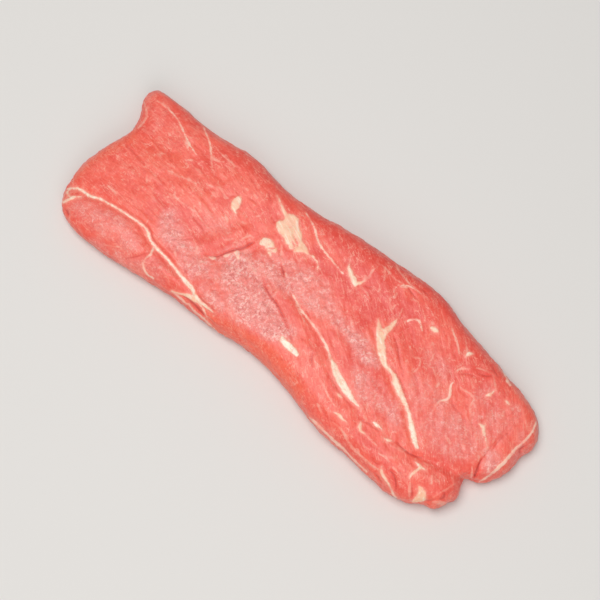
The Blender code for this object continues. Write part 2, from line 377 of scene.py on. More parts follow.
# %% [markdown]
# The pieces are now laid on the mesh. The fat distance is the greatest of all pieces', and the gaps
# are taken away again with a minimum, just as solids are joined and cut.

# %% Laying the fat
BIG_FAT = [  # (tone at the low-x end, tone at the high-x end, outline)
    (0.5, 0.45, RAGGED_PATCH),
    (0.7, 0.5, SIDE_PATCH),
    (0.45, 0.85, FORK),
    (0.6, 1.0, LONG_SLIVER),
]
FAT_REACH = 6.0  # mm round each piece within which its distance is worked out

fat_and_glint_mm, which = lay_strokes(sheet, [stroke for _, stroke in SMALL_FAT_AND_GLINT], FAT_REACH)
fat_tone = np.array([tone for tone, _ in SMALL_FAT_AND_GLINT])[which]
for first_tone, last_tone, outline in BIG_FAT:
    inside = lay_outline(sheet, outline, FAT_REACH)
    ends = [x for x, _ in outline]
    tone = np.interp(sheet[:, 0], [min(ends), max(ends)], [first_tone, last_tone])
    fat_tone = np.where(inside > fat_and_glint_mm, tone, fat_tone)
    fat_and_glint_mm = np.maximum(fat_and_glint_mm, inside)
fat_and_glint_mm = np.minimum(fat_and_glint_mm, -lay_strokes(sheet, FAT_GAPS, FAT_REACH)[0])
print("points under fat:", int((fat_and_glint_mm * lit > 0).sum()))

# %% [markdown]
# ## Thin pale lines
# Connective tissue shows as threads under a millimetre wide, pale pink to cream. Some are clear and
# some only just show, so these strokes are sorted by how strongly they show. One clear stroke, on
# the far edge near the lobed end, is a painted highlight: the pale rim of light along that edge.

# %% Thin lines that show clearly
CLEAR_LINES = [
    [(-5, -2.2, 0.5), (0, -4.6, 0.9), (6, -6.6, 1.0), (12, -8.0, 1.0), (20, -9.8, 1.1), (27, -12.4, 1.2),
     (32, -14.9, 1.2), (36.4, -18, 1.2)],
    [(-84.4, -31.8, 0.9), (-83.3, -34.6, 1.1), (-82.3, -37, 1.1), (-83.3, -40, 1.0), (-82.2, -43.4, 0.9),
     (-79, -46, 0.9), (-75.6, -46.6, 0.9), (-71.6, -46.4, 0.5)],
    [(-59, -45.1, 0.7), (-52, -45.3, 0.9), (-42, -45.7, 0.9), (-30, -46.2, 0.7), (-17, -47, 0.5)],
    [(-44, -40.6, 0.7), (-38, -42, 0.8), (-33.5, -44, 0.4)],
    [(146.6, 29.2, 0.5), (147.7, 25.2, 0.8), (148.6, 21.4, 0.9), (148.4, 16, 1.0), (147.4, 9, 1.3),
     (147.2, 2, 1.6), (146.6, -5, 1.7), (145.8, -10, 1.5), (144.8, -14.8, 1.1), (143.2, -18.6, 0.6)],
    [(48, -50.2, 0.5), (55, -50.8, 1.0), (62, -51.6, 1.1), (70, -52.2, 1.0), (80, -53, 0.9), (92, -54, 0.5)],
    [(-30.4, 39.6, 0.5), (-22, 36.8, 0.8), (-17.6, 33.8, 0.9), (-12, 30.3, 0.9), (-4.2, 28.3, 0.9),
     (3, 26.8, 0.9), (9.6, 25.4, 0.7)],
    [(55.2, 27.4, 0.7), (57.2, 30.4, 1.1), (60, 31.6, 1.1), (62.8, 30.4, 0.9), (65.2, 28.4, 0.5)],
    [(-110, 41.3, 0.4), (-105, 38.8, 0.8), (-100.6, 36.2, 1.1), (-97.4, 33.4, 1.1), (-94.4, 30.4, 0.8)],
    [(-133.5, 37.3, 0.5), (-124.9, 35.5, 0.8), (-115.5, 31.1, 1.0), (-107.9, 27.7, 0.9), (-102, 26.2, 0.4)],
    [(97.2, 16.6, 0.5), (97.2, 14.4, 0.9), (99.2, 11.2, 1.0), (100.9, 8.2, 1.3), (100.2, 5.6, 1.0),
     (98.4, 3.6, 0.6)],
    [(76.6, 40.7, 0.6), (80.2, 38.4, 0.9), (84.4, 35.9, 1.0), (87.6, 33.2, 0.8), (90.6, 30.2, 0.6)],
    [(39.1, 40.7, 0.4), (41.4, 43, 0.8), (44.6, 44.4, 0.9), (48.6, 44.8, 0.8), (53.6, 44.4, 0.4)],
    [(109, -52.6, 0.9), (112.6, -54.6, 1.1), (116, -55.6, 0.6)],
    # painted highlight: the pale rim of light along the far edge, drawn as a clear line
    [(110.9, 40.4, 0.6), (115, 39.4, 0.8), (119, 37, 0.9), (121, 35.9, 1.5), (122.8, 35.4, 0.8)],
    [(-46.4, -4.8, 1.0), (-45.2, -3.8, 2.6), (-43.6, -5.2, 2.0), (-42, -6.4, 0.8)],
    [(-49.2, -9.8, 1.6), (-48.4, -8.6, 1.2), (-47.6, -7, 0.9)],
    [(-55.8, -16.2, 0.8), (-53.8, -15.4, 2.0), (-52.6, -14.2, 1.0)],
]
print("clear lines:", len(CLEAR_LINES))

# %% Thin lines that only just show
SOFT_LINES = [
    [(-142.3, 36.6, 0.7), (-138, 37.4, 0.9), (-133.5, 37.3, 1.0)],
    [(-94.4, 29.9, 0.8), (-90, 26.2, 0.8), (-85.6, 23, 0.6)],
    [(-96.3, 36.6, 0.6), (-92, 36, 0.9), (-87.7, 35.7, 1.0), (-82, 35.6, 0.9), (-77.4, 36.2, 0.6)],
    [(-105.4, 7.9, 0.6), (-98.4, 10.6, 1.0), (-90.6, 12.3, 0.6)],
    [(-97, 32.6, 0.7), (-94.2, 30.8, 1.4), (-90, 31.3, 1.2), (-87, 33, 0.7)],
    [(-121.8, 13.8, 0.6), (-119, 13.7, 0.9), (-116.4, 14.7, 0.6)],
    [(-116.4, -1.8, 0.6), (-114.8, -3.8, 1.0), (-113.2, -5.4, 0.6)],
    [(-48.2, 4.4, 0.6), (-46.2, 8.2, 1.3), (-43.6, 9, 1.0)],
    [(98.4, 3.8, 0.8), (97.9, 0.4, 0.9), (99.2, -5, 0.5)],
    [(101.6, 16.6, 0.6), (105.4, 16.8, 0.9), (109.4, 17.4, 0.9), (111.8, 16.2, 1.0), (113.2, 13.6, 0.7)],
    [(116.5, 2.2, 0.6), (120.7, -1.9, 0.9), (122.4, -5.4, 0.9), (123.8, -8.6, 1.0), (127.9, -11.7, 0.6)],
    [(6, 37, 0.5), (8.4, 32.6, 0.9)],
    [(21.6, 29.8, 0.9), (22.4, 33, 1.3), (21.4, 37, 1.1), (22, 41, 0.6)],
    [(22, 25.6, 0.8), (25.6, 25.8, 0.9), (30.4, 24, 0.6)],
    [(-28.7, 16.9, 0.8), (-26.2, 12.8, 1.0), (-20.9, 8, 0.7), (-14, 3.4, 0.6)],
    [(86.4, 41, 0.5), (90, 37.5, 0.9), (93.2, 34.6, 0.8)],
    [(28, 50, 0.5), (31.6, 47.8, 0.9), (38, 46.2, 0.9), (45, 45, 0.9), (52.6, 44.4, 0.6)],
    [(20, 43, 0.6), (26, 43.6, 0.9), (34, 42.2, 0.8), (41, 43, 0.6)],
    [(60, -44.6, 0.8), (65.5, -44.6, 1.0), (70, -45.9, 1.1), (73, -47.3, 1.2), (77, -48.6, 1.3),
     (85.5, -49.2, 1.3), (91, -49.4, 1.2), (96, -48.8, 0.9)],
    [(42, -31.4, 0.9), (46.5, -33.8, 1.1), (51, -35.8, 1.0), (56, -37.2, 0.6)],
    [(74, -38, 0.8), (80.5, -38.5, 1.1), (87.4, -39.2, 0.8)],
    [(90, -34.2, 0.7), (95, -33.6, 0.8), (100.4, -32.5, 0.5)],
    [(0, -6, 0.7), (5, -8, 1.0), (10, -10, 0.8), (15, -11.4, 0.5)],
    [(112.8, 14.2, 0.8), (113, 11, 1.0), (115.6, 8.6, 0.6)],
    [(-107.4, -50.2, 0.6), (-103, -47.4, 0.9), (-99.4, -45, 0.7)],
    [(-128.6, -21.4, 0.8), (-124, -21.6, 1.0), (-121, -22, 0.6)],
    [(-39, -2.6, 0.6), (-37.5, -3.3, 0.9), (-31, -5.7, 1.0), (-25.4, -7.4, 0.7)],
    [(-98.5, -2, 0.7), (-90, -1.6, 0.9), (-80, -1.0, 1.0), (-70, -3, 0.8), (-60, -3.6, 0.6)],
    [(-148, 31, 0.7), (-144.2, 28.8, 1.0), (-141, 26, 1.2), (-139.4, 21, 1.2), (-139.4, 16.6, 0.8)],
    [(68, 16, 0.7), (71, 13.6, 0.9), (74.6, 14.8, 0.8), (77, 10.4, 0.9), (76.2, 5, 0.7)],
    [(-146.4, -39.4, 1.2), (-144.6, -43, 1.2), (-141.6, -47.6, 0.9)],
    [(26, -1, 0.8), (29.6, -3.8, 0.9)],
    [(133.6, -27.6, 0.6), (132.6, -31, 1.0), (130.4, -36.6, 1.0), (129.2, -41, 0.7)],
    [(121, -32.8, 1.0), (123.4, -36, 0.8)],
    [(24.6, 20, 0.9), (26.4, 18.4, 0.6)],
    [(61.6, 40.8, 0.8), (64.4, 39.2, 0.8)],
    [(94.8, 22.6, 0.7), (95.5, 24.9, 1.1), (97.7, 26.7, 1.0), (99.5, 28.1, 0.6)],
    [(102, 31, 0.6), (104.5, 32.2, 0.9), (108, 33.4, 0.8), (111.3, 34.2, 1.0), (114, 32, 0.9),
     (116.2, 30.2, 0.9), (118.2, 28, 0.7)],
    [(105.7, 22.8, 0.7), (107.9, 20.6, 0.9)],
    [(78.6, 23.5, 0.7), (79.3, 20.4, 1.1), (79.8, 17.6, 0.6)],
    [(82.7, 15.8, 0.7), (85.5, 14.2, 0.9), (87.5, 12.6, 0.6)],
    [(91.2, 10.8, 0.8), (92, 8.5, 1.1)],
    [(129.2, 21.4, 1.2), (130.6, 19.4, 1.3)],
    [(112.8, -10.2, 1.2), (117.4, -11.8, 1.4)],
    [(134.9, -14.3, 0.8), (137.2, -17.3, 1.2), (138.2, -19.3, 0.7)],
    [(93.8, -31.9, 0.7), (97.6, -31.9, 0.9), (101.3, -30.4, 0.6)],
    [(-65, -16, 1.0), (-63.8, -18, 1.5), (-62.8, -20.4, 0.7)],
    [(-59.4, -22.6, 0.9), (-57.6, -21.6, 1.4), (-55.6, -20.4, 0.8)],
    [(-96.6, 0.6, 1.0), (-95, -1.6, 1.5), (-92.6, -1.2, 0.8)],
    [(-55.6, -2.8, 0.8), (-53.6, -1.2, 1.1), (-52.4, 1, 0.8)],
    [(-74, -24.4, 0.7), (-72.4, -27, 1.2), (-70.6, -28.4, 0.7)],
    [(114, -43.3, 0.9), (116.6, -46.8, 1.6), (118.6, -49.4, 0.8)],
    [(130.6, -43.4, 1.4), (134, -41, 2.2), (136, -39, 1.0)],
    [(90.6, -42, 0.8), (94.5, -41, 1.3), (97.8, -41.6, 0.8)],
    [(101.6, -42.8, 0.7), (105.8, -43.3, 1.0), (109.5, -45.2, 1.0), (111.4, -48.8, 0.6)],
    [(112.4, -29.7, 0.8), (116, -29.2, 1.1)],
    [(46.6, -42, 0.7), (49, -43.5, 1.0), (51.8, -44.6, 0.7)],
    [(70.8, -30.7, 0.9), (73.8, -32.3, 1.3)],
    [(80.4, -42.9, 0.8), (81.8, -44, 1.1), (85.6, -43.4, 0.7)],
    [(39.4, 40.6, 0.8), (41.4, 42.2, 1.5), (43, 42.6, 0.8)],
    [(40.4, 36, 1.2), (40.8, 33.4, 1.8)],
    [(37.7, 38.6, 0.8), (38.7, 35.8, 1.1)],
    [(58.5, 37.3, 0.7), (61.4, 35.5, 1.0), (62.5, 33.8, 0.6)],
    [(20.5, 32.8, 1.3), (21.7, 30.8, 1.9)],
    [(48.6, 31.4, 0.6), (49.9, 27, 1.0)],
    [(31.4, 31.6, 1.2), (31.8, 30, 1.0)],
    [(134.2, -6.8, 0.8), (135.6, -9.4, 1.1)],
    [(-128.6, 8.4, 0.8), (-125.2, 8.6, 1.4)],
    [(-124.2, 26, 0.8), (-122.4, 25.4, 1.2)],
    [(-108.2, 7.8, 0.6), (-106.4, 8.9, 0.9), (-102.4, 9.4, 0.7)],
    [(-97.6, 19.4, 0.8), (-94.6, 19.6, 1.2), (-91.6, 19.2, 0.8)],
    [(-97, 12.5, 0.8), (-94.4, 11.8, 1.2), (-91.2, 12.2, 0.8)],
    [(-105, 19.6, 0.7), (-102, 22.2, 0.9)],
    [(-112.4, 28.3, 0.8), (-109.8, 26.6, 1.6), (-107.6, 25.2, 0.8)],
    [(-80.2, 18.8, 0.8), (-77.6, 19.5, 1.2), (-74.6, 18.2, 1.0), (-72.4, 17.1, 1.5), (-70.6, 17.6, 0.8)],
    [(-60.6, 29, 1.0), (-58, 28.6, 1.5)],
    [(-66, 28.8, 0.9), (-65, 29, 1.3)],
    [(-65.6, 9, 0.8), (-63.6, 8, 1.4), (-61, 6.5, 0.9)],
    [(-55.2, 12, 1.0), (-53, 12.6, 1.4)],
    [(-51.2, 19.6, 0.8), (-49.4, 21.4, 1.1)],
    [(-81.4, 5.2, 1.0), (-80.6, 4.4, 1.4)],
    [(-84.6, 16.4, 0.8), (-82.6, 17, 1.1)],
]
print("soft lines:", len(SOFT_LINES))

# %% Laying the lines
CLEAR, SOFT = 0.9, 0.45  # how much of a line's colour shows
LINE_REACH = 4.0

line_mm, which = lay_strokes(sheet, CLEAR_LINES + SOFT_LINES, LINE_REACH)
line_show = np.where(which < len(CLEAR_LINES), CLEAR, SOFT)
print("points under lines:", int((line_mm * lit > 0).sum()))

# %% [markdown]
# ## Creases
# Meat folds where it was bent and dips along its seams. A crease is a narrow groove, and the shade
# that falls in it is painted into its colour too, darker and redder, because light goes in and
# doesn't come out. Each one has a depth in millimetres, and the stroke's width is the groove's.

# %% Creases
CREASES = [  # (depth in mm, stroke)
    (0.65, [(-42, 7, 0.6), (-42.8, 5.4, 1.3), (-44.4, 0.6, 1.2), (-47, -3, 1.3), (-49.2, -6.4, 1.2),
            (-51, -10, 1.1), (-53.4, -13.8, 1.0), (-58.6, -17, 0.6)]),
    (0.65, [(-24, -6, 0.6), (-18.8, -9.4, 1.2), (-14.4, -11.1, 1.3), (-7.9, -12.8, 1.3), (-1.9, -15.2, 1.2),
            (6, -19.3, 0.8)]),
    (0.45, [(-21, -5, 0.6), (-17, -6.2, 1.0), (-14.2, -8.2, 1.0), (-14.6, -10.8, 0.6)]),
    (0.7, [(-21.2, 7.2, 0.6), (-18.4, 5.1, 1.6), (-16.6, 3.6, 1.3), (-15, 2.2, 0.6)]),
    (0.4, [(-9, 2, 0.6), (-5.5, -1.3, 1.0), (-3.2, -5.6, 0.6)]),
    (0.75, [(139.4, -18, 1.2), (138.4, -14, 1.5), (137, -10, 1.2), (136.6, -7, 0.7)]),
    (0.45, [(136.6, -6.4, 0.7), (136.2, 0, 0.9), (136.4, 8, 0.9), (136.4, 17, 0.6)]),
    (0.55, [(94, -30, 0.8), (100, -31, 1.3), (106, -30.2, 1.3), (111, -27.6, 0.7)]),
    (0.5, [(26, -21.6, 0.9), (28, -24.8, 1.3), (31, -27.4, 0.8)]),
    (0.5, [(-55.3, 35.8, 0.8), (-52.5, 33.8, 1.3), (-49.4, 31.6, 0.8)]),
    (0.5, [(43.6, 42.8, 0.8), (47, 42, 1.3), (50.6, 41, 0.8)]),
    (0.4, [(6.6, -4.4, 0.8), (9, -5.2, 1.2), (11.6, -6.2, 0.7)]),
    (0.6, [(100.6, -45, 0.8), (105, -46, 1.4), (108.4, -48.6, 1.4), (110.6, -51.4, 0.8)]),
    (0.5, [(50.6, 27.6, 0.5), (52.2, 23, 1.0), (53.0, 18, 0.8)]),
    (0.5, [(55, 16, 0.7), (60, 12.4, 1.2), (65, 8, 1.2), (70, 4, 0.7)]),
    (0.5, [(105, 29.6, 0.7), (109, 31, 1.2), (112, 33.6, 0.7)]),
    (0.4, [(139, 16, 0.7), (137.6, 8, 1.0), (137.8, 0, 0.7)]),
    (0.6, [(-46, -38.2, 0.7), (-41, -38.7, 1.3), (-33, -38.4, 0.7)]),
    (0.6, [(-53, -43.8, 0.7), (-47, -43.2, 1.5), (-40, -43.8, 1.4), (-35, -44.8, 0.7)]),
    (0.4, [(-84, -36, 0.7), (-88, -43, 1.1), (-92, -48, 0.7)]),
    (0.5, [(61, 2.4, 0.5), (67, 0.9, 0.9), (74, -2.1, 1.0), (82, -6.8, 1.0), (90, -11.9, 0.7)]),
    # the dark colour here is a painted shadow along the seam's upper side, under the edge of the flap
    (0.5, [(-128, -29.2, 0.5), (-115, -26.9, 0.9), (-104, -25.7, 0.9), (-96, -25.2, 1.0), (-92, -26.3, 1.0),
           (-88, -28.9, 1.1), (-80, -30.6, 0.9), (-70, -31.8, 0.6)]),
    (0.4, [(-139, 4.7, 0.7), (-130, 3.6, 1.0), (-121, 2.4, 0.7)]),
    (0.5, [(150.4, 13.6, 0.8), (149.8, 10.4, 1.5), (151.6, 8, 0.8)]),
    (0.5, [(-138.4, -48.2, 0.8), (-136.4, -48.6, 1.7), (-134.6, -49.4, 0.8)]),
    (0.5, [(131.8, -35, 0.8), (133.6, -37.4, 1.8), (132.6, -40, 1.0)]),
    # the dark colour here is a painted shadow under the white glint bead
    (0.5, [(70, -33.4, 0.6), (77, -32, 1.0), (83, -31.6, 0.6)]),
    (0.4, [(40, -24.6, 0.6), (47, -27.6, 0.9), (56, -29.9, 0.8), (64, -30.3, 0.5)]),
    (0.35, [(97.7, 22.6, 0.6), (99.5, 24.9, 1.2), (103.2, 26.5, 1.0), (106, 27.2, 0.5)]),
    (0.3, [(101.8, 15.6, 0.6), (105.5, 15.1, 1.0), (109.1, 15.4, 0.8)]),
    (0.35, [(101.8, 8.1, 0.6), (104.5, 6.7, 1.1), (107.7, 5.6, 1.0), (111, 5.2, 0.5)]),
    (0.4, [(113.2, 5.6, 0.6), (115.9, 3.6, 1.2), (119.1, 0.9, 0.5)]),
    (0.35, [(107.7, 38.8, 0.6), (110, 37, 1.2), (112.3, 35.8, 1.2), (115.5, 35.1, 0.5)]),
    (0.3, [(120.6, 35.4, 0.6), (123.8, 34.2, 1.0)]),
    (0.3, [(92.7, 21.3, 0.6), (93.9, 18.5, 1.0), (94.8, 16.3, 0.6)]),
    (0.3, [(99.5, -3.2, 0.6), (101.3, -5, 1.0), (102.4, -7.5, 0.8), (104.9, -9.1, 0.9), (106.3, -10.9, 0.5)]),
    (0.25, [(121.3, -8.2, 0.6), (124, -10, 1.0), (126.7, -11.4, 0.6)]),
    (0.35, [(-73.8, -18, 1.0), (-71.6, -15, 1.0), (-70.4, -14, 0.5)]),
    (0.3, [(-79, -3.6, 1.0), (-75, -4.8, 1.4), (-70, -5.4, 1.0), (-66, -8, 0.6)]),
    (0.3, [(-70, -11.6, 1.0), (-68, -12.4, 1.2), (-64.6, -13, 0.6)]),
    (0.35, [(-42, -30.4, 0.8), (-40.4, -29.2, 1.1), (-39.2, -28, 0.5)]),
    (0.35, [(-62.6, -31, 1.0), (-60.4, -31.8, 1.8), (-58.6, -32, 0.8)]),
    (0.3, [(-79.4, -25.4, 0.6), (-76, -26.6, 1.1), (-73.4, -27, 0.5)]),
    (0.4, [(104, -41, 0.6), (107.4, -42.8, 1.2), (109.4, -43.2, 0.6)]),
    (0.35, [(-122, 18.4, 0.6), (-123.5, 16.7, 0.9), (-121.4, 15.3, 1.0), (-119.6, 15.6, 0.6)]),
    (0.3, [(-109.8, 33.9, 0.6), (-108, 31.2, 1.1), (-106.2, 29.8, 0.6)]),
    (0.35, [(-116.4, 31, 0.6), (-112.2, 30.4, 1.0), (-109.2, 29.2, 0.6)]),
    (0.25, [(-140.6, 28.8, 0.6), (-137.6, 23, 1.2), (-136.6, 18.6, 0.6)]),
    (0.4, [(-43.8, 25.6, 0.6), (-40.6, 23.8, 1.4)]),
    (0.35, [(-63.4, 22.8, 0.6), (-62.2, 19.8, 1.1), (-61.6, 17.4, 0.6)]),
    (0.3, [(-61, 25.6, 0.6), (-57.6, 26.2, 1.1), (-53.8, 25.2, 0.6)]),
    (0.3, [(-71, 19.2, 0.7), (-68.8, 21.4, 1.0)]),
    (0.5, [(115.8, -43.3, 0.7), (118.5, -46.9, 1.2), (120.4, -49.2, 0.7)]),
    (0.4, [(95.4, -51.5, 0.6), (99, -52.4, 1.2), (102.4, -53.7, 0.7)]),
    (0.3, [(84, -40.6, 0.6), (90, -40.1, 1.0), (95.6, -40.5, 0.6)]),
    (0.35, [(89.6, -47.4, 0.8), (94.6, -46.9, 1.0)]),
    (0.35, [(126.3, -46, 0.8), (128.5, -44.2, 1.3), (130, -42.2, 0.7)]),
    (0.3, [(48.2, -41.7, 0.6), (51, -42.7, 1.0), (53.6, -44.3, 1.0), (56.6, -44.7, 0.5)]),
    (0.25, [(44.5, -34.6, 0.6), (50, -37.2, 1.0), (53.8, -37.7, 0.5)]),
    (0.35, [(47.8, 47.2, 0.6), (51.5, 47.4, 1.1), (55.2, 47.2, 0.6)]),
    (0.4, [(23.8, 28, 1.0), (27, 29.4, 1.4)]),
    (0.35, [(127, 15.9, 0.8), (129.6, 14, 1.0)]),
    (0.3, [(123.8, 5.9, 0.7), (126.3, 4.8, 1.0)]),
]
CREASE_REACH = 3.0

crease_mm, which = lay_strokes(sheet, [stroke for _, stroke in CREASES], CREASE_REACH)
crease_depth = np.array([depth for depth, _ in CREASES])[which]
groove = crease_depth * ease(crease_mm, -0.5, 0.6)
print("creases:", len(CREASES), "and the deepest is", groove.max(), "mm")

# %% [markdown]
# ## Swells and hollows
# These are wide and soft, and only their shape shows: the swollen flap beside its seam, a step where
# one layer of muscle ends on another, and the fold that runs in from the notch. Each fades out over
# its stroke's width.

# %% Swells and hollows
SWELLS = [  # (height in mm, stroke)
    (0.9, [(-52, 8, 12), (-56, -2, 16), (-62, -12, 16)]),
    (-0.5, [(-38, 4, 10), (-42, -6, 12), (-48, -16, 10)]),
    (-0.8, [(-148, -38, 6), (-139, -33.5, 7), (-122, -29.5, 7), (-99, -27, 7), (-88, -31, 7), (-62, -35, 7),
            (-44, -40, 6), (-30, -41, 4)]),
    (0.8, [(-132, -42, 14), (-112, -40, 20), (-94, -40, 16)]),
    (0.5, [(-76, -39, 8), (-68, -40, 9), (-58, -40.5, 6)]),
    (0.7, [(140, -16, 5), (141, -10, 8), (141, -2, 8)]),
    (-0.9, [(136, -23, 5), (128, -24, 8), (118, -26, 8), (108, -29, 7)]),
    (0.5, [(132, -36, 10), (124, -34, 10), (116, -36, 10)]),
    (0.5, [(-12, -6, 10), (0, -10, 12), (12, -14, 10)]),
    (-0.5, [(-22, -8, 7), (-10, -15, 8), (2, -19, 8), (12, -22, 6)]),
    (0.5, [(60, 10, 20), (78, 6, 22), (92, 0, 18)]),
    (-0.5, [(52, 4, 8), (66, -3, 8), (84, -12, 8), (104, -24, 8)]),
    (0.4, [(20, 36, 20), (40, 34, 22), (60, 40, 18)]),
    (-0.4, [(-5, -3, 6), (14, -9, 6), (34, -16, 7), (50, -24, 8), (64, -28, 6)]),
    (0.5, [(20, -20, 12), (34, -26, 14), (50, -34, 12)]),
    (-0.5, [(-100, 36, 8), (-92, 28, 10), (-80, 24, 8)]),
    (0.4, [(-120, 10, 26), (-100, 8, 28), (-80, 10, 22)]),
    (0.5, [(-34, 26, 16), (-26, 23, 14)]),
    (0.9, [(-18.5, -45.6, 2.4), (-15.2, -46.6, 3.0)]),
]
swell = np.zeros(count)
for height, stroke in SWELLS:
    inside, _ = lay_strokes(sheet, [stroke], 1.0)
    middle = np.array(stroke)[:, 2].max() / 2
    swell += height * ease(inside, 0.0, middle)
print("swells from %.2f to %.2f mm" % (swell.min(), swell.max()))

# %% [markdown]
# ## Film with painted sheen, lean meat with painted edge shade, and warm patches
# Where the silverskin was peeled off, a thin pale film is left on the meat, frosted with fine
# wrinkles. Its paleness is partly its own colour and partly painted sheen, the soft light that the
# wet film reflects. Elsewhere the knife went through clean, lean muscle, which is smoother and
# redder; the bands of it along the far edge are partly painted shade, where that edge turns from the
# light. Along the near side, and under the translucent edges of the fat, the meat looks warmer and
# more orange. All three are wide strokes with soft edges.

# %% Film with painted sheen, lean meat with painted edge shade, and warm patches
FILM_AND_SHEEN = [  # (strength, stroke)
    (0.9, [(-50, -14, 8), (-42, -8, 18), (-34, -14, 24), (-22, -20, 26), (-6, -24, 20), (8, -22, 10)]),
    (0.8, [(-46, -2, 6), (-44, -6, 8), (-50, -13, 5)]),
    (0.7, [(-30, 0, 12), (-14, 4, 20), (2, 6, 20), (14, 3, 14)]),
    (0.85, [(22, 2.4, 8), (32, 1.4, 7), (43, -0.8, 10), (50, -3.2, 11), (57, -2.6, 6)]),
    (0.6, [(52, -14, 8), (62, -18, 16), (76, -18, 12), (88, -22, 8)]),
    (0.45, [(84, 2, 14), (98, -4, 24), (112, -8, 26), (126, -8, 16)]),
    (0.45, [(118, 22, 18), (128, 10, 22), (132, 22, 16)]),
    (0.8, [(-49, -21, 12), (-58, -26, 14), (-68, -22, 12), (-80, -20, 14), (-88, -14, 12)]),
    (0.55, [(-112, -51, 6), (-88, -47, 8), (-78, -41, 10), (-68, -45, 6)]),
    (0.5, [(143, 18, 6), (149, 12, 7), (150, 4, 6)]),
    (0.35, [(42, -50, 6), (54, -51, 8), (64, -52, 6)]),
    (0.45, [(-134, -42, 10), (-114, -39, 18), (-96, -39, 14)]),
    (0.35, [(-68, -2, 12), (-58, 2, 10)]),
    (0.15, [(-142, 30, 12), (-132, 30, 14), (-118, 24, 12)]),
    (0.9, [(137, -2, 5), (141, -3.4, 8), (143, -8.6, 6)]),
    (0.35, [(78, 22, 14), (88, 16, 14)]),
    (0.6, [(-20, -32, 10), (-34, -34, 10), (-46, -31, 10)]),
]
LEAN_AND_EDGE_SHADE = [
    (0.7, [(-52, -2, 6), (-54, -8, 12), (-60, -13, 12), (-66, -12, 8)]),
    (0.6, [(141, -8, 6), (142, -14, 7), (140.6, -18, 4)]),
    (0.8, [(46, -6, 10), (49, -9, 12), (44, -14, 10)]),
    (0.25, [(-130, -18, 18), (-118, -10, 14)]),
    # this band and the next run along the far edge: partly redder lean meat, partly painted shade where that
    # edge turns from the light
    (0.7, [(-98, 22, 10), (-88, 38, 14), (-74, 42, 12), (-52, 40, 10)]),
    (0.9, [(-30, 44, 8), (-18, 42, 10), (0, 40, 14), (20, 46, 12), (44, 48, 10), (62, 49, 10), (84, 45, 8)]),
    (1.0, [(8, 33, 10), (26, 32, 18), (40, 28, 20), (56, 34, 12)]),
    (1.0, [(32, 25, 16), (36, 14, 12), (38, 5, 6)]),
    (0.6, [(60, 22, 14), (78, 14, 12), (92, 22, 16), (98, 30, 14)]),
    # along the far edge too: partly lean meat, partly painted shade
    (0.7, [(84, 42, 10), (104, 36, 10), (112, 24, 10)]),
    (1.0, [(-10, 26, 10), (-2, 20, 10), (8, 23, 12), (20, 20, 14)]),
    (0.6, [(-50, 24, 8), (-43, 25, 8)]),
    (0.7, [(1, -21.5, 7), (7, -21.5, 7)]),
    (0.7, [(76, -42, 8), (90, -44, 8), (112, -48, 8)]),
    (0.6, [(112, -24, 10), (124, -24, 10), (134, -32, 10)]),
    (0.6, [(-90, -8, 14), (-72, -8, 12)]),
    (0.6, [(60, -10, 10), (72, -14, 8)]),
]
WARM = [
    (1.0, [(-32, -44, 6), (-16, -42, 10), (0, -40, 12), (16, -40, 12), (32, -43, 9)]),
    (0.8, [(-149, -30, 8), (-149, -16, 10), (-145, -4, 10), (-141, 10, 12)]),
    (0.6, [(51, 3, 4), (54, 0.4, 4), (58, -2, 3.4), (64, -2.6, 2)]),
    (0.7, [(70, -6, 3), (76, -9.2, 3), (84, -12.6, 3), (90, -17, 3.4), (96, -22.4, 3.4), (101, -26, 2.4)]),
    (0.5, [(46, 17, 3), (48, 19, 3), (49, 23, 2)]),
    (0.5, [(34, -22, 6), (32, -26, 6)]),
    (0.5, [(-130, 10, 14), (-112, 12, 18), (-96, 4, 16), (-84, 6, 14)]),
    (0.5, [(128, -46, 8), (132, -42, 8)]),
]


def patch_field(places, patches, soft):
    """0 to 1: the strongest patch at each place, with edges soft mm wide to both sides."""
    field = np.zeros(count)
    for strength, stroke in patches:
        inside, _ = lay_strokes(places, [stroke], soft + 1.0)
        field = np.maximum(field, strength * ease(inside, -soft, soft))
    return field


film_and_sheen = lit * patch_field(sheet, FILM_AND_SHEEN, 5.0)
lean_and_edge_shade = lit * patch_field(sheet, LEAN_AND_EDGE_SHADE, 4.0)
warm = lit * patch_field(sheet, WARM, 2.0)
print("film covers %.0f%% of the points" % (100 * (film_and_sheen > 0.25).mean()))

# %% [markdown]
# ## The grain
# Muscle is bundles of fibres, so its surface looks combed. The fibres run along the steak at the
# eared end, turn across it towards the lobed end, and bend to follow the near edge. A noise texture
# can't turn like that by itself, so a map of random dots is combed by code: each dot of the map
# becomes the mean of the dots along the fibre that runs through it.

# %% Which way the fibres run
MAP_STEP = 0.5  # mm from dot to dot
MAP_LOW = np.array([-162.0, -64.0])
MAP_SIZE = (648, 256)
# Each pair is (place along the steak in mm, fibre angle in degrees from the steak's length).
FIBRE_ANGLES = [(-160, -4), (-100, -8), (-50, -24), (0, -34), (60, -40), (110, -42), (160, -36)]
EDGE_ANGLES = [(-160, 4), (-110, 4), (-60, 2), (0, 0), (40, -12), (80, -5), (120, 8), (160, 30)]
FLAP_ANGLE = 34.0


def fibre_angle(x, y):
    """The direction of the fibres at each place, in radians from +X."""
    middle = np.interp(x, *zip(*FIBRE_ANGLES))
    edge = np.interp(x, *zip(*EDGE_ANGLES))
    towards_edge = ease(-y, 24.0, 44.0) * ease(x, -60.0, -20.0)
    angle = middle + (edge - middle) * towards_edge
    flap = ease(-y, 26.0, 34.0) * (1.0 - ease(x, -80.0, -60.0))
    return np.radians(angle + (FLAP_ANGLE - angle) * flap)


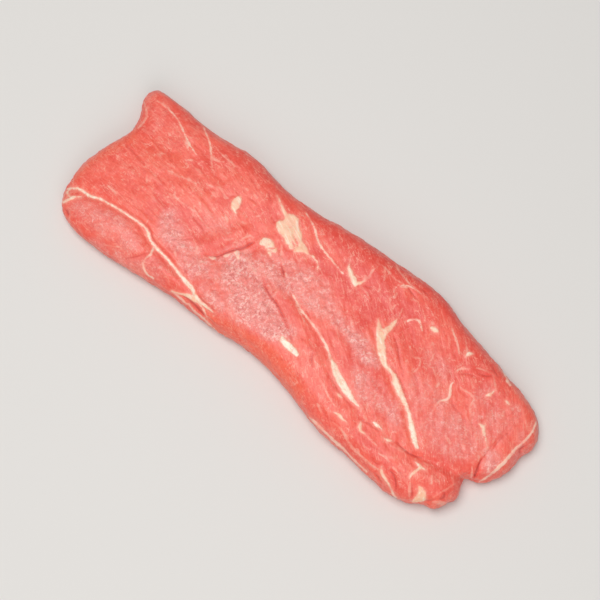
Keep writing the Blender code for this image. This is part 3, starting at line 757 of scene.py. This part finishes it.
map_x, map_y = np.meshgrid(
    MAP_LOW[0] + MAP_STEP * np.arange(MAP_SIZE[0]),
    MAP_LOW[1] + MAP_STEP * np.arange(MAP_SIZE[1]),
    indexing="ij",
)
map_angle = fibre_angle(map_x, map_y)
print("fibre directions, degrees: %.0f to %.0f" % tuple(np.degrees([map_angle.min(), map_angle.max()])))


# %% Blurring and combing
def blur(dots, passes):
    """A soft blur: each pass takes the mean of each dot and its eight neighbours."""
    for _ in range(passes):
        for axis in (0, 1):
            dots = (np.roll(dots, 1, axis) + dots + np.roll(dots, -1, axis)) / 3
    return dots


def comb(dots, reach_mm):
    """The mean of the dots along the fibre through each dot, up to reach_mm to both sides."""
    columns, rows = dots.shape
    start = np.meshgrid(np.arange(columns, dtype=float), np.arange(rows, dtype=float), indexing="ij")
    total = dots.copy()
    for way in (1, -1):
        i, j = start[0].copy(), start[1].copy()
        at = i.astype(int), j.astype(int)
        for _ in range(round(reach_mm / MAP_STEP)):
            i += way * np.cos(map_angle[at])
            j += way * np.sin(map_angle[at])
            at = (
                np.clip(np.rint(i), 0, columns - 1).astype(int),
                np.clip(np.rint(j), 0, rows - 1).astype(int),
            )
            total += dots[at]
    total -= total.mean()
    return total / total.std()


print("map: %d by %d dots" % MAP_SIZE)


# %% Combing a map of random dots
COMBED = {  # name: (blur passes, reach of the comb in mm)
    "fine": (1, 3.0),
    "broad": (10, 6.0),
    "flecks": (1, 2.0),
}
WRINKLE_PASSES = 3


def sample(field, places):
    """The map's value at each place, in mm, weighed between its four nearest dots."""
    at = np.clip((places - MAP_LOW) / MAP_STEP, 0, np.array(MAP_SIZE) - 1.001)
    low = at.astype(int)
    share = at - low
    i, j = low[:, 0], low[:, 1]
    left = field[i, j] * (1 - share[:, 1]) + field[i, j + 1] * share[:, 1]
    right = field[i + 1, j] * (1 - share[:, 1]) + field[i + 1, j + 1] * share[:, 1]
    return left * (1 - share[:, 0]) + right * share[:, 0]


random = np.random.default_rng(20)
plan = points[:, :2]
grain = {
    name: sample(comb(blur(random.standard_normal(MAP_SIZE), passes), reach), plan)
    for name, (passes, reach) in COMBED.items()
}
wrinkles = sample(blur(random.standard_normal(MAP_SIZE), WRINKLE_PASSES), plan)
wrinkles /= wrinkles.std()
print("fine grain, least and most: %.1f, %.1f" % (grain["fine"].min(), grain["fine"].max()))

# %% [markdown]
# ## Fibres through the whole piece
# On the walls and the underside the grain has to run through the meat, not down from a map. So every
# point also gets a place in the meat's own measure: along the fibre, across it, and up. Noise that is
# stretched along the first of them makes streaks on a side cut along the grain and dots on an end cut
# across it, as in a real piece.

# %% Fibres through the whole piece
STATIONS = np.arange(-170.0, 171.0, 2.0)
slope = np.tan(np.radians(np.interp(STATIONS, *zip(*FIBRE_ANGLES))))
drop = np.concatenate([[0.0], np.cumsum(slope[1:] + slope[:-1])])  # the sum of strips 2 mm wide
turned = np.radians(np.interp(points[:, 0], *zip(*FIBRE_ANGLES)))
along = points[:, 0] / np.cos(turned)
across = (points[:, 1] - np.interp(points[:, 0], STATIONS, drop)) * np.cos(turned)
fibre = np.stack([along, across, points[:, 2]], axis=1)


def noise_at(places, sizes, seed, octaves=3):
    """Fractal noise, about -1 to 1, whose lumps measure sizes = (x, y, z) in mm."""
    scaled = places / np.array(sizes) + seed
    return np.array([noise.fractal(Vector(p), 0.8, 2.0, octaves) for p in scaled])


lumps = noise_at(points, (26.0, 20.0, 18.0), 3.7)
dimples = noise_at(points, (7.0, 6.0, 6.0), 11.3, 2)
through_broad = noise_at(fibre, (34.0, 4.5, 4.5), 5.1)
through_fine = noise_at(fibre, (16.0, 1.9, 1.9), 8.9, 2)
up = ease(normals[:, 2], 0.35, 0.8)  # 1 on the top, fading over its rounded edge
down = ease(-normals[:, 2], 0.35, 0.8)
wall = 1.0 - np.maximum(up, down)
print("points on the top, walls and underside:", *[int((f > 0.5).sum()) for f in (up, wall, down)])

# %% [markdown]
# ## The underside and the far wall
# The sheet doesn't reach these. The underside was skinned as the top was, so it has slivers of fat, a
# web of pale lines, and silverskin left in patches. The wall is cut across thin seams, which run
# along it. Nothing marks their exact places, so they wander: each stroke sets off near its heading,
# turns a little at every knot, and tapers at both ends.

# %% The underside and the far wall
# Each row has the strokes and knots, the mm between knots, the heading and the usual turn in degrees,
# the greatest width in mm, and the middle and spread of where strokes set off, in y or height.
WANDERERS = {
    "under_fat": (7, 6, 7.0, -30.0, 16.0, 2.6, 0.0, 34.0),
    "under_lines": (34, 6, 6.0, -30.0, 24.0, 1.0, 0.0, 34.0),
    "wall_fat": (3, 5, 6.0, 0.0, 7.0, 1.7, 9.0, 7.0),
    "wall_lines": (16, 5, 6.0, 0.0, 14.0, 0.8, 9.0, 7.0),
}
SETS_OFF_BETWEEN = (-140.0, 115.0)
THIN_END = 0.3

hidden = np.random.default_rng(31)
wanderers = {}
for name, (strokes, knots, pace, heading, turn, width, middle, spread) in WANDERERS.items():
    wanderers[name] = []
    for _ in range(strokes):
        x = hidden.uniform(*SETS_OFF_BETWEEN)
        y = middle + hidden.uniform(-spread, spread)
        angle = math.radians(heading + hidden.normal(0.0, turn))
        most = width * hidden.uniform(0.5, 1.0)
        stroke = []
        for knot in range(knots):
            swelling = math.sin(math.pi * knot / (knots - 1)) ** 0.6
            stroke.append((x, y, THIN_END + (most - THIN_END) * swelling))
            angle += math.radians(hidden.normal(0.0, turn))
            x += pace * math.cos(angle)
            y += pace * math.sin(angle)
        wanderers[name].append(stroke)
print("wandering strokes:", sum(len(strokes) for strokes in wanderers.values()))

# %% [markdown]
# They join the drawing of the top by masks: the underside's strokes lie in plan, and the far wall's in
# a side view, length by height. Where a mask is 0, a distance is set to a few millimetres outside.

# %% Joining the drawings
SILVERSKIN = [  # (strength, stroke), in plan
    (0.8, [(-120, 14, 14), (-84, 4, 22), (-50, -6, 20), (-24, -16, 12)]),
    (0.6, [(30, 16, 14), (60, 4, 18), (96, -8, 20), (122, -4, 12)]),
]
HIDDEN_TONE = 0.5
HIDDEN_SHOW = 0.7


def masked(distance, mask, outside=4.0):
    """The distance where the mask is 1, and that many mm outside where it is 0."""
    return distance * mask - outside * (1.0 - mask)


far_wall = ease(normals[:, 1], 0.35, 0.7) * (1.0 - lit) * (1.0 - down)
beneath = down * (1.0 - lit)
fat_and_glint_mm = masked(fat_and_glint_mm, lit)
line_mm = masked(line_mm, lit)
for side, shown, places in (("under", beneath, plan), ("wall", far_wall, points[:, [0, 2]])):
    hidden_fat, _ = lay_strokes(places, wanderers[side + "_fat"], LINE_REACH)
    hidden_lines, _ = lay_strokes(places, wanderers[side + "_lines"], LINE_REACH)
    fat_and_glint_mm = np.maximum(fat_and_glint_mm, masked(hidden_fat, shown))
    line_mm = np.maximum(line_mm, masked(hidden_lines, shown))
fat_tone = np.where(lit > 0.5, fat_tone, HIDDEN_TONE)
line_show = np.where(lit > 0.5, line_show, HIDDEN_SHOW)
film_and_sheen = np.maximum(film_and_sheen, beneath * patch_field(plan, SILVERSKIN, 5.0))
print("points under fat, all round:", int((fat_and_glint_mm > 0).sum()))

# %% [markdown]
# ## Sculpting
# Every relief is a height in millimetres, and their sum moves each point along its normal. Fat stands
# a little proud, because it is firmer than the meat, which shrinks back from it. Creases sink, and
# fibres leave fine ridges. The underside is pressed flat by the board, so it moves least and never
# goes below the board.

# %% Sculpting
TOP_BUNDLES, TOP_FIBRES = 0.07, 0.06  # heights in mm, as all below
WALL_BUNDLES, WALL_FIBRES = 0.45, 0.25
TOP_LUMPS, WALL_LUMPS = 0.30, 0.55
TOP_DIMPLES, WALL_DIMPLES = 0.14, 0.25
FAT_HEIGHT = 0.4
LINE_HEIGHT = 0.15
WRINKLE_HEIGHT = 0.16
SMOOTHER_WHERE_LEAN = 0.45  # shares of the grain's height
FLATTER_BELOW = 0.35

relief = up * (TOP_BUNDLES * grain["broad"] + TOP_FIBRES * grain["fine"])
relief *= 1.0 - SMOOTHER_WHERE_LEAN * lean_and_edge_shade
relief += (wall + FLATTER_BELOW * down) * (WALL_BUNDLES * through_broad + WALL_FIBRES * through_fine)
relief += (TOP_LUMPS * up + WALL_LUMPS * wall) * lumps + (TOP_DIMPLES * up + WALL_DIMPLES * wall) * dimples
relief += lit * (swell - groove) + WRINKLE_HEIGHT * film_and_sheen * wrinkles
relief += FAT_HEIGHT * ease(fat_and_glint_mm, -0.4, 0.9)
relief += LINE_HEIGHT * ease(line_mm, -0.5, 0.4) * line_show
sculpted = points + normals * relief[:, None]
sculpted[:, 2] = np.maximum(sculpted[:, 2], 0.0)
evened.vertices.foreach_set("co", (sculpted * MM).ravel())
for polygon in evened.polygons:
    polygon.use_smooth = True
evened.update()
print("relief from %.2f to %.2f mm" % (relief.min(), relief.max()))

# %% [markdown]
# ## Handing the drawing to the material
# The material reads the drawing from attributes on the mesh's points. Fat and lines are handed over as
# a distance in millimetres to their edge, and not as a painted mask. A distance changes evenly from
# point to point, so the shader finds a crisp edge between two points, and it can fray that edge.

# %% Handing the drawing to the material
THROUGH_CONTRAST = 1.6  # lifts the noise through the piece to the combed map's contrast

HANDED_OVER = {
    "fat_and_glint_mm": fat_and_glint_mm,
    "fat_tone": fat_tone,
    "line_mm": line_mm,
    "line_show": line_show,
    "crease_mm": masked(crease_mm, lit, CREASE_REACH),
    "crease_depth": crease_depth,
    "film_and_sheen": film_and_sheen,
    "lean_and_edge_shade": lean_and_edge_shade,
    "warm": warm,
    "grain": grain["fine"] * up + THROUGH_CONTRAST * through_fine * (1.0 - up),
    "bundle": grain["broad"] * up + THROUGH_CONTRAST * through_broad * (1.0 - up),
    "flecks": masked(grain["flecks"], up),
}
for name, values in HANDED_OVER.items():
    evened.attributes.new(name, "FLOAT", "POINT").data.foreach_set("value", values.astype(np.float32))
evened.attributes.new("fibre", "FLOAT_VECTOR", "POINT").data.foreach_set(
    "vector", fibre.astype(np.float32).ravel()
)
print("attributes:", *HANDED_OVER, "fibre")

# %% [markdown]
# ## Adding nodes by code
# A material is a tree of nodes. One function adds a node, sets its options, and fills its sockets: a
# number or a colour is set on the socket, and another node is joined to it by the output in use.

# %% A function that adds a node
def add(tree, kind, sockets=(), **options):
    """Adds a node. sockets maps a socket's name or number to a value, an output or a node."""
    node = tree.nodes.new("ShaderNode" + kind)
    for name, value in options.items():
        setattr(node, name, value)
    for name, value in dict(sockets).items():
        if isinstance(value, bpy.types.Node):
            value = next(output for output in value.outputs if output.enabled)
        if isinstance(value, bpy.types.NodeSocket):
            tree.links.new(value, node.inputs[name])
        else:
            node.inputs[name].default_value = value
    return node


# %% [markdown]
# ## Raw beef
# Fresh beef is red muscle, wet and a little see-through: light enters it, scatters for a millimetre or
# two, mostly the red light, and comes out again. That gives soft shadows and a red glow in creases.
# The material starts with what it reads: the drawing, and noises with lumps of real sizes.

# %% Raw beef: what the material reads
beef = bpy.data.materials.new("raw_beef")
beef.use_nodes = True
tree = beef.node_tree
shader = tree.nodes["Principled BSDF"]
place = add(tree, "TexCoord").outputs["Object"]
drawn = {name: add(tree, "Attribute", attribute_name=name).outputs["Fac"] for name in HANDED_OVER}
fibre_place = add(tree, "Attribute", attribute_name="fibre").outputs["Vector"]

# Object coordinates are metres, so a scale of 1000 / size gives lumps of that many millimetres.
NOISES = {  # name: (size in mm, detail, roughness, distortion)
    "blotches": (22.0, 3.0, 0.5, 0.0),
    "frost_sheen": (13.0, 3.0, 0.5, 0.0),
    "patches": (9.0, 5.0, 0.6, 0.3),
    "web": (7.0, 2.0, 0.5, 0.7),
    "mottle": (4.0, 5.0, 0.65, 0.4),
    "fray": (2.2, 3.0, 0.5, 0.0),
    "crinkle": (2.0, 3.0, 0.6, 1.3),
    "grit": (1.2, 2.0, 0.6, 0.0),
}
noises = {
    name: add(tree, "TexNoise", {
        "Vector": place, "Scale": 1000 / size, "Detail": detail, "Roughness": roughness, "Distortion": twist,
    })
    for name, (size, detail, roughness, twist) in NOISES.items()
}
# The fibre attribute is in millimetres already. Bundles are drawn 10 mm long and 3 mm wide, threads
# 7 mm by 1.4 mm, and fibrils 4.5 mm by 0.9 mm. A real fibre is only 0.1 mm wide, far too fine to show.
STRETCHED = {"bundles": (10.0, 3.0, 3.0), "threads": (7.0, 1.4, 1.4), "fibrils": (4.5, 0.9, 0.9)}
for name, sizes in STRETCHED.items():
    stretched = add(tree, "Mapping", {"Vector": fibre_place, "Scale": [1 / size for size in sizes]})
    noises[name] = add(tree, "TexNoise", {"Vector": stretched, "Scale": 1.0, "Detail": 3.0})
print("noises:", *noises)

# %% [markdown]
# A pale hairline shows where a thread lies near the surface. Such thin, curved lines are where a
# noise crosses its middle value, so its distance from the middle makes a fine line pattern. One set
# follows the fibres and the other is a loose web across them. Both show only here and there, so they
# are marks: a mark is a smooth mask that follows one value and is weakened by another, its cover.

# %% Raw beef: hairlines
HAIRLINES = {  # name: (how far from the middle value a line reaches, where it shows, from, to)
    "threads": (0.030, "patches", 0.49, 0.58),
    "web": (0.020, "mottle", 0.48, 0.58),
}


def mark(follows, low, high, cover):
    """A mask that rises smoothly where follows goes from low to high, times its cover."""
    mask = add(tree, "MapRange", {0: follows, 1: low, 2: high}, interpolation_type="SMOOTHSTEP")
    return add(tree, "Math", {0: mask, 1: cover}, operation="MULTIPLY")


hairlines = {}
for name, (reach, shows, low, high) in HAIRLINES.items():
    crossing = add(tree, "Math", {0: noises[name], 1: 0.5}, operation="SUBTRACT")
    crossing = add(tree, "Math", {0: crossing}, operation="ABSOLUTE")
    here_and_there = add(tree, "MapRange", {0: noises[shows], 1: low, 2: high})
    hairlines[name] = mark(crossing, reach, 0.1 * reach, here_and_there)
print("hairlines:", *hairlines)

# %% [markdown]
# The muscle is built up in layers, from the bottom up. Each layer has a colour, what it follows, the
# values between which it appears, and how much of it shows at most. A range that runs downwards
# shows the layer where the value is low.

# %% Raw beef: the muscle
DEEP_RED = linear("de3f35")
RED = linear("ea5043")
CORAL = linear("f76a57")
PINK = linear("f78070")
ORANGE = linear("f76d53")
PALE_THREAD = linear("fb9c8a")
HAIR_CREAM = linear("fdb8a2")

MUSCLE_LAYERS = [  # (colour, what it follows, from, to, most)
    (RED, noises["blotches"], 0.56, 0.40, 0.5),
    (PINK, noises["patches"], 0.50, 0.68, 0.45),
    (PINK, drawn["bundle"], 0.2, 2.2, 0.25),
    (DEEP_RED, drawn["bundle"], -0.4, -2.4, 0.2),
    (PALE_THREAD, noises["bundles"], 0.56, 0.74, 0.3),
    # redder where the meat is lean; along the far edge these two layers are partly painted shade
    (RED, drawn["lean_and_edge_shade"], 0.0, 1.0, 0.85),
    (DEEP_RED, drawn["lean_and_edge_shade"], 0.8, 1.0, 0.35),
    (ORANGE, drawn["warm"], 0.0, 1.0, 0.75),
    (PINK, noises["mottle"], 0.51, 0.68, 0.45),
    (DEEP_RED, noises["mottle"], 0.48, 0.32, 0.35),
    (PALE_THREAD, drawn["grain"], 0.8, 2.6, 0.3),
    (DEEP_RED, drawn["grain"], -0.8, -2.6, 0.25),
    (PALE_THREAD, noises["fibrils"], 0.54, 0.74, 0.45),
    (DEEP_RED, noises["fibrils"], 0.46, 0.28, 0.4),
    (PALE_THREAD, noises["grit"], 0.56, 0.74, 0.35),
    (DEEP_RED, noises["grit"], 0.44, 0.28, 0.3),
    (HAIR_CREAM, hairlines["threads"], 0.0, 1.0, 0.55),
    (HAIR_CREAM, hairlines["web"], 0.0, 1.0, 0.45),
    (PALE_THREAD, drawn["flecks"], 2.0, 3.0, 0.6),
]


def lay_over(below, layers):
    """Lays each layer over what is below it."""
    for colour, follows, low, high, most in layers:
        mask = add(
            tree, "MapRange", {0: follows, 1: low, 2: high, 4: most}, interpolation_type="SMOOTHSTEP"
        )
        below = add(tree, "Mix", {0: mask, 6: below, 7: colour}, data_type="RGBA")
    return below


muscle = lay_over(CORAL, MUSCLE_LAYERS)
print("muscle layers:", len(MUSCLE_LAYERS))

# %% [markdown]
# The film is a translucent skin over the muscle, so it tints more than it covers; its pale tint is
# partly painted sheen. Frost on its wrinkles is painted sheen, and the meat between them is painted
# darker as shade. Both come from one twisted noise.

# %% Raw beef: the film, with painted sheen and painted shade
FILM_PINK_AND_SHEEN = linear("ee968e")
FILM_SHEEN = linear("fdcabd")
FILM_SHADE = linear("d56a63")

FILM_SHEEN_MARKS = {  # name: (the noise it follows, from, to)
    "frost_sheen": ("crinkle", 0.50, 0.64),
    "dent_shade": ("crinkle", 0.49, 0.35),
    "sheen_specks": ("grit", 0.56, 0.70),
}

film_and_sheen_mask = drawn["film_and_sheen"]
for name in ("patches", "frost_sheen"):  # two noises thin the film in places
    patchy = add(tree, "MapRange", {0: noises[name], 1: 0.34, 2: 0.56, 3: 0.6})
    film_and_sheen_mask = add(tree, "Math", {0: film_and_sheen_mask, 1: patchy}, operation="MULTIPLY")
film_sheen_marks = {
    name: mark(noises[follows], low, high, film_and_sheen_mask) for name, (follows, low, high) in FILM_SHEEN_MARKS.items()
}
# painted sheen and shade: the pale film tint, frost and specks paint reflected light, the dents paint shade
film_and_sheen_laid = lay_over(muscle, [
    (FILM_PINK_AND_SHEEN, film_and_sheen_mask, 0.0, 0.8, 0.8),
    (FILM_SHEEN, film_sheen_marks["frost_sheen"], 0.0, 0.8, 0.75),
    (FILM_SHADE, film_sheen_marks["dent_shade"], 0.0, 0.8, 0.75),
    (FILM_SHEEN, film_sheen_marks["sheen_specks"], 0.0, 1.0, 0.45),
])
print("film marks:", *film_sheen_marks)

# %% [markdown]
# The shade in a crease is painted: a thin dark core and a soft red rim, both stronger where it is deep.

# %% Raw beef: painted shade in the creases
# painted shade: creases are coloured darker and redder where shade falls into the groove
CREASE_SHADE = linear("b8332c")
CREASE_SHADE_MARKS = {"shade_rim": (-1.3, 0.2), "core": (-0.1, 0.4)}  # from and to, in mm inside the stroke

crease_shade_marks = {
    name: mark(drawn["crease_mm"], low, high, drawn["crease_depth"])
    for name, (low, high) in CREASE_SHADE_MARKS.items()
}
crease_shaded = lay_over(film_and_sheen_laid, [
    (RED, crease_shade_marks["shade_rim"], 0.0, 0.9, 0.7),
    (CREASE_SHADE, crease_shade_marks["core"], 0.0, 0.9, 0.75),
])
print("crease marks:", *crease_shade_marks)

# %% [markdown]
# Lines and fat come last. Their edges are the drawn distances, frayed a little by a fine noise, and
# the lines fade in and out. Fat is cream where it is thick, peach where it is thin, and pink at its
# rim, where meat shows through, and a faint pale halo of thin tissue surrounds both.

# %% Raw beef: the thin lines
LINE_CREAM = linear("fdcbb4")
LINE_MARKS = {"halo": (-1.4, 0.2), "core": (-0.45, 0.2)}  # from and to, in mm inside the stroke

line_fray = add(tree, "MapRange", {0: noises["fray"], 1: 0.3, 2: 0.7, 3: -0.3, 4: 0.25})
fade = add(tree, "MapRange", {0: noises["patches"], 1: 0.36, 2: 0.6, 3: 0.45})
line_edge = add(tree, "Math", {0: drawn["line_mm"], 1: line_fray}, operation="ADD")
line_cover = add(tree, "Math", {0: drawn["line_show"], 1: fade}, operation="MULTIPLY")
line_marks = {name: mark(line_edge, low, high, line_cover) for name, (low, high) in LINE_MARKS.items()}
lined = lay_over(crease_shaded, [
    (PALE_THREAD, line_marks["halo"], 0.0, 1.0, 0.4),
    # the cream core is also the painted rim highlight along the far edge
    (LINE_CREAM, line_marks["core"], 0.0, 1.0, 1.0),
])
print("line marks:", *line_marks)

# %% Raw beef: the fat
FAT_CREAM_AND_GLINT = linear("fff0dc")
FAT_PEACH = linear("fbc09c")
FAT_RIM = linear("f8ad95")
FAT_LOBE = linear("f8a78c")

fat_fray = add(tree, "MapRange", {0: noises["fray"], 1: 0.3, 2: 0.7, 3: -0.38, 4: 0.3})
fat_edge = add(tree, "Math", {0: drawn["fat_and_glint_mm"], 1: fat_fray}, operation="ADD")
fat_and_glint_mask = add(tree, "MapRange", {0: fat_edge, 1: -0.35, 2: 0.25}, interpolation_type="SMOOTHSTEP")
fat = lay_over(FAT_PEACH, [
    # at tone 1 this cream is also the painted highlight of the white glint
    (FAT_CREAM_AND_GLINT, drawn["fat_tone"], 0.3, 1.0, 1.0),
    (FAT_PEACH, noises["mottle"], 0.5, 0.66, 0.6),
    (FAT_LOBE, noises["crinkle"], 0.50, 0.34, 0.6),
    (FAT_LOBE, noises["bundles"], 0.50, 0.36, 0.45),
    (FAT_CREAM_AND_GLINT, noises["threads"], 0.52, 0.66, 0.55),
    (FAT_RIM, fat_edge, 0.8, -0.2, 0.8),
])
haloed = lay_over(lined, [(PALE_THREAD, fat_edge, -1.8, 0.0, 0.45)])
coloured = add(tree, "Mix", {0: fat_and_glint_mask, 6: haloed, 7: fat}, data_type="RGBA")
tree.links.new(coloured.outputs[2], shader.inputs["Base Color"])
print("coloured with", len(tree.nodes), "nodes")

# %% [markdown]
# Wet muscle is glossier than film and fat, and the moisture lies unevenly, so the roughness follows
# the same masks. Water and protein give an index of refraction of about 1.38, and the juice on top
# is a thin coat.

# %% Raw beef: wetness and depth
wetness = add(tree, "MapRange", {0: noises["mottle"], 1: 0.3, 2: 0.7, 3: 0.32, 4: 0.48})
rough = add(tree, "Mix", {0: film_and_sheen_mask, 2: wetness, 3: 0.55})
rough = add(tree, "Mix", {0: fat_and_glint_mask, 2: rough, 3: 0.42})
tree.links.new(rough.outputs[0], shader.inputs["Roughness"])

WET_MEAT = {
    "IOR": 1.38,
    "Subsurface Weight": 0.18,
    "Subsurface Radius": (1.0, 0.32, 0.2),
    "Subsurface Scale": 1.6 * MM,
    "Coat Weight": 0.2,
    "Coat Roughness": 0.3,
}
for name, value in WET_MEAT.items():
    shader.inputs[name].default_value = value
print("wet meat:", *WET_MEAT, sep=", ")

# %% [markdown]
# Threads and wrinkles too fine for the mesh are bumps: each bump node takes the normal of the one
# before it, so that they add up.

# %% Raw beef: bumps
BUMPS = {  # name: (strength, height in mm)
    "threads": (0.6, 0.25),
    "fibrils": (0.5, 0.15),
    "crinkle": (0.6, 0.3),
}
for name, (strength, height) in BUMPS.items():
    bump = add(tree, "Bump", {"Height": noises[name], "Strength": strength, "Distance": height * MM})
    if shader.inputs["Normal"].is_linked:
        tree.links.new(shader.inputs["Normal"].links[0].from_socket, bump.inputs["Normal"])
    tree.links.new(bump.outputs["Normal"], shader.inputs["Normal"])
steak.data.materials.append(beef)
print("raw beef:", len(tree.nodes), "nodes")

# %% [markdown]
# The sculpted steak now takes the place of the CAD solid. It rides on the only body, root.

# %% In the place of the CAD solid
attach(steak, "root")
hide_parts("steak")
print("pieces:", steak.name)

# %% [markdown]
# ## The floor and the light
# The steak lies on a plain pale floor. A wide lamp high above gives a soft key light, a weaker one
# fills the near side, and an even sky fills the rest. The pale floor throws some light back onto the
# walls of the meat.

# %% The floor
FLOOR_SIZE = 6000.0
FLOOR_GAP = 0.05  # mm below the steak, so that the two faces don't flicker

floor_shape = bmesh.new()
bmesh.ops.create_grid(floor_shape, x_segments=1, y_segments=1, size=FLOOR_SIZE / 2 * MM)
floor_mesh = bpy.data.meshes.new("floor")
floor_shape.to_mesh(floor_mesh)
floor_shape.free()
floor = bpy.data.objects.new("floor", floor_mesh)
bpy.context.scene.collection.objects.link(floor)
floor.location.z = -FLOOR_GAP * MM
plaster = bpy.data.materials.new("matt_plaster")
plaster.use_nodes = True
plaster.node_tree.nodes["Principled BSDF"].inputs["Base Color"].default_value = linear("dfdcd8")
plaster.node_tree.nodes["Principled BSDF"].inputs["Roughness"].default_value = 0.85
floor_mesh.materials.append(plaster)
print("floor, mm across:", FLOOR_SIZE)

# %% The lights
LAMPS = {  # name: (direction it comes from, distance in mm, diameter in mm, watts)
    "key": ((-0.18, -0.04, 1.0), 1600.0, 1000.0, 15.7),
    "fill": ((0.70, -0.75, 0.75), 1600.0, 1200.0, 7.2),
}
for name, (direction, distance, size, watts) in LAMPS.items():
    lamp_data = bpy.data.lights.new(name, "AREA")
    lamp_data.shape = "DISK"
    lamp_data.size = size * MM
    lamp_data.energy = watts
    lamp_object = bpy.data.objects.new(name, lamp_data)
    bpy.context.scene.collection.objects.link(lamp_object)
    towards = Vector(direction).normalized()
    lamp_object.location = towards * distance * MM
    lamp_object.rotation_euler = towards.to_track_quat("Z", "Y").to_euler()

sky = bpy.data.worlds.new("soft_sky")
bpy.context.scene.world = sky
sky.use_nodes = True
sky.node_tree.nodes["Background"].inputs["Color"].default_value = (1.0, 1.0, 1.0, 1.0)
sky.node_tree.nodes["Background"].inputs["Strength"].default_value = 0.31

# Plain view settings show the colours as they are, without a camera film's contrast.
bpy.context.scene.view_settings.view_transform = "Standard"
print("lamps:", *LAMPS)
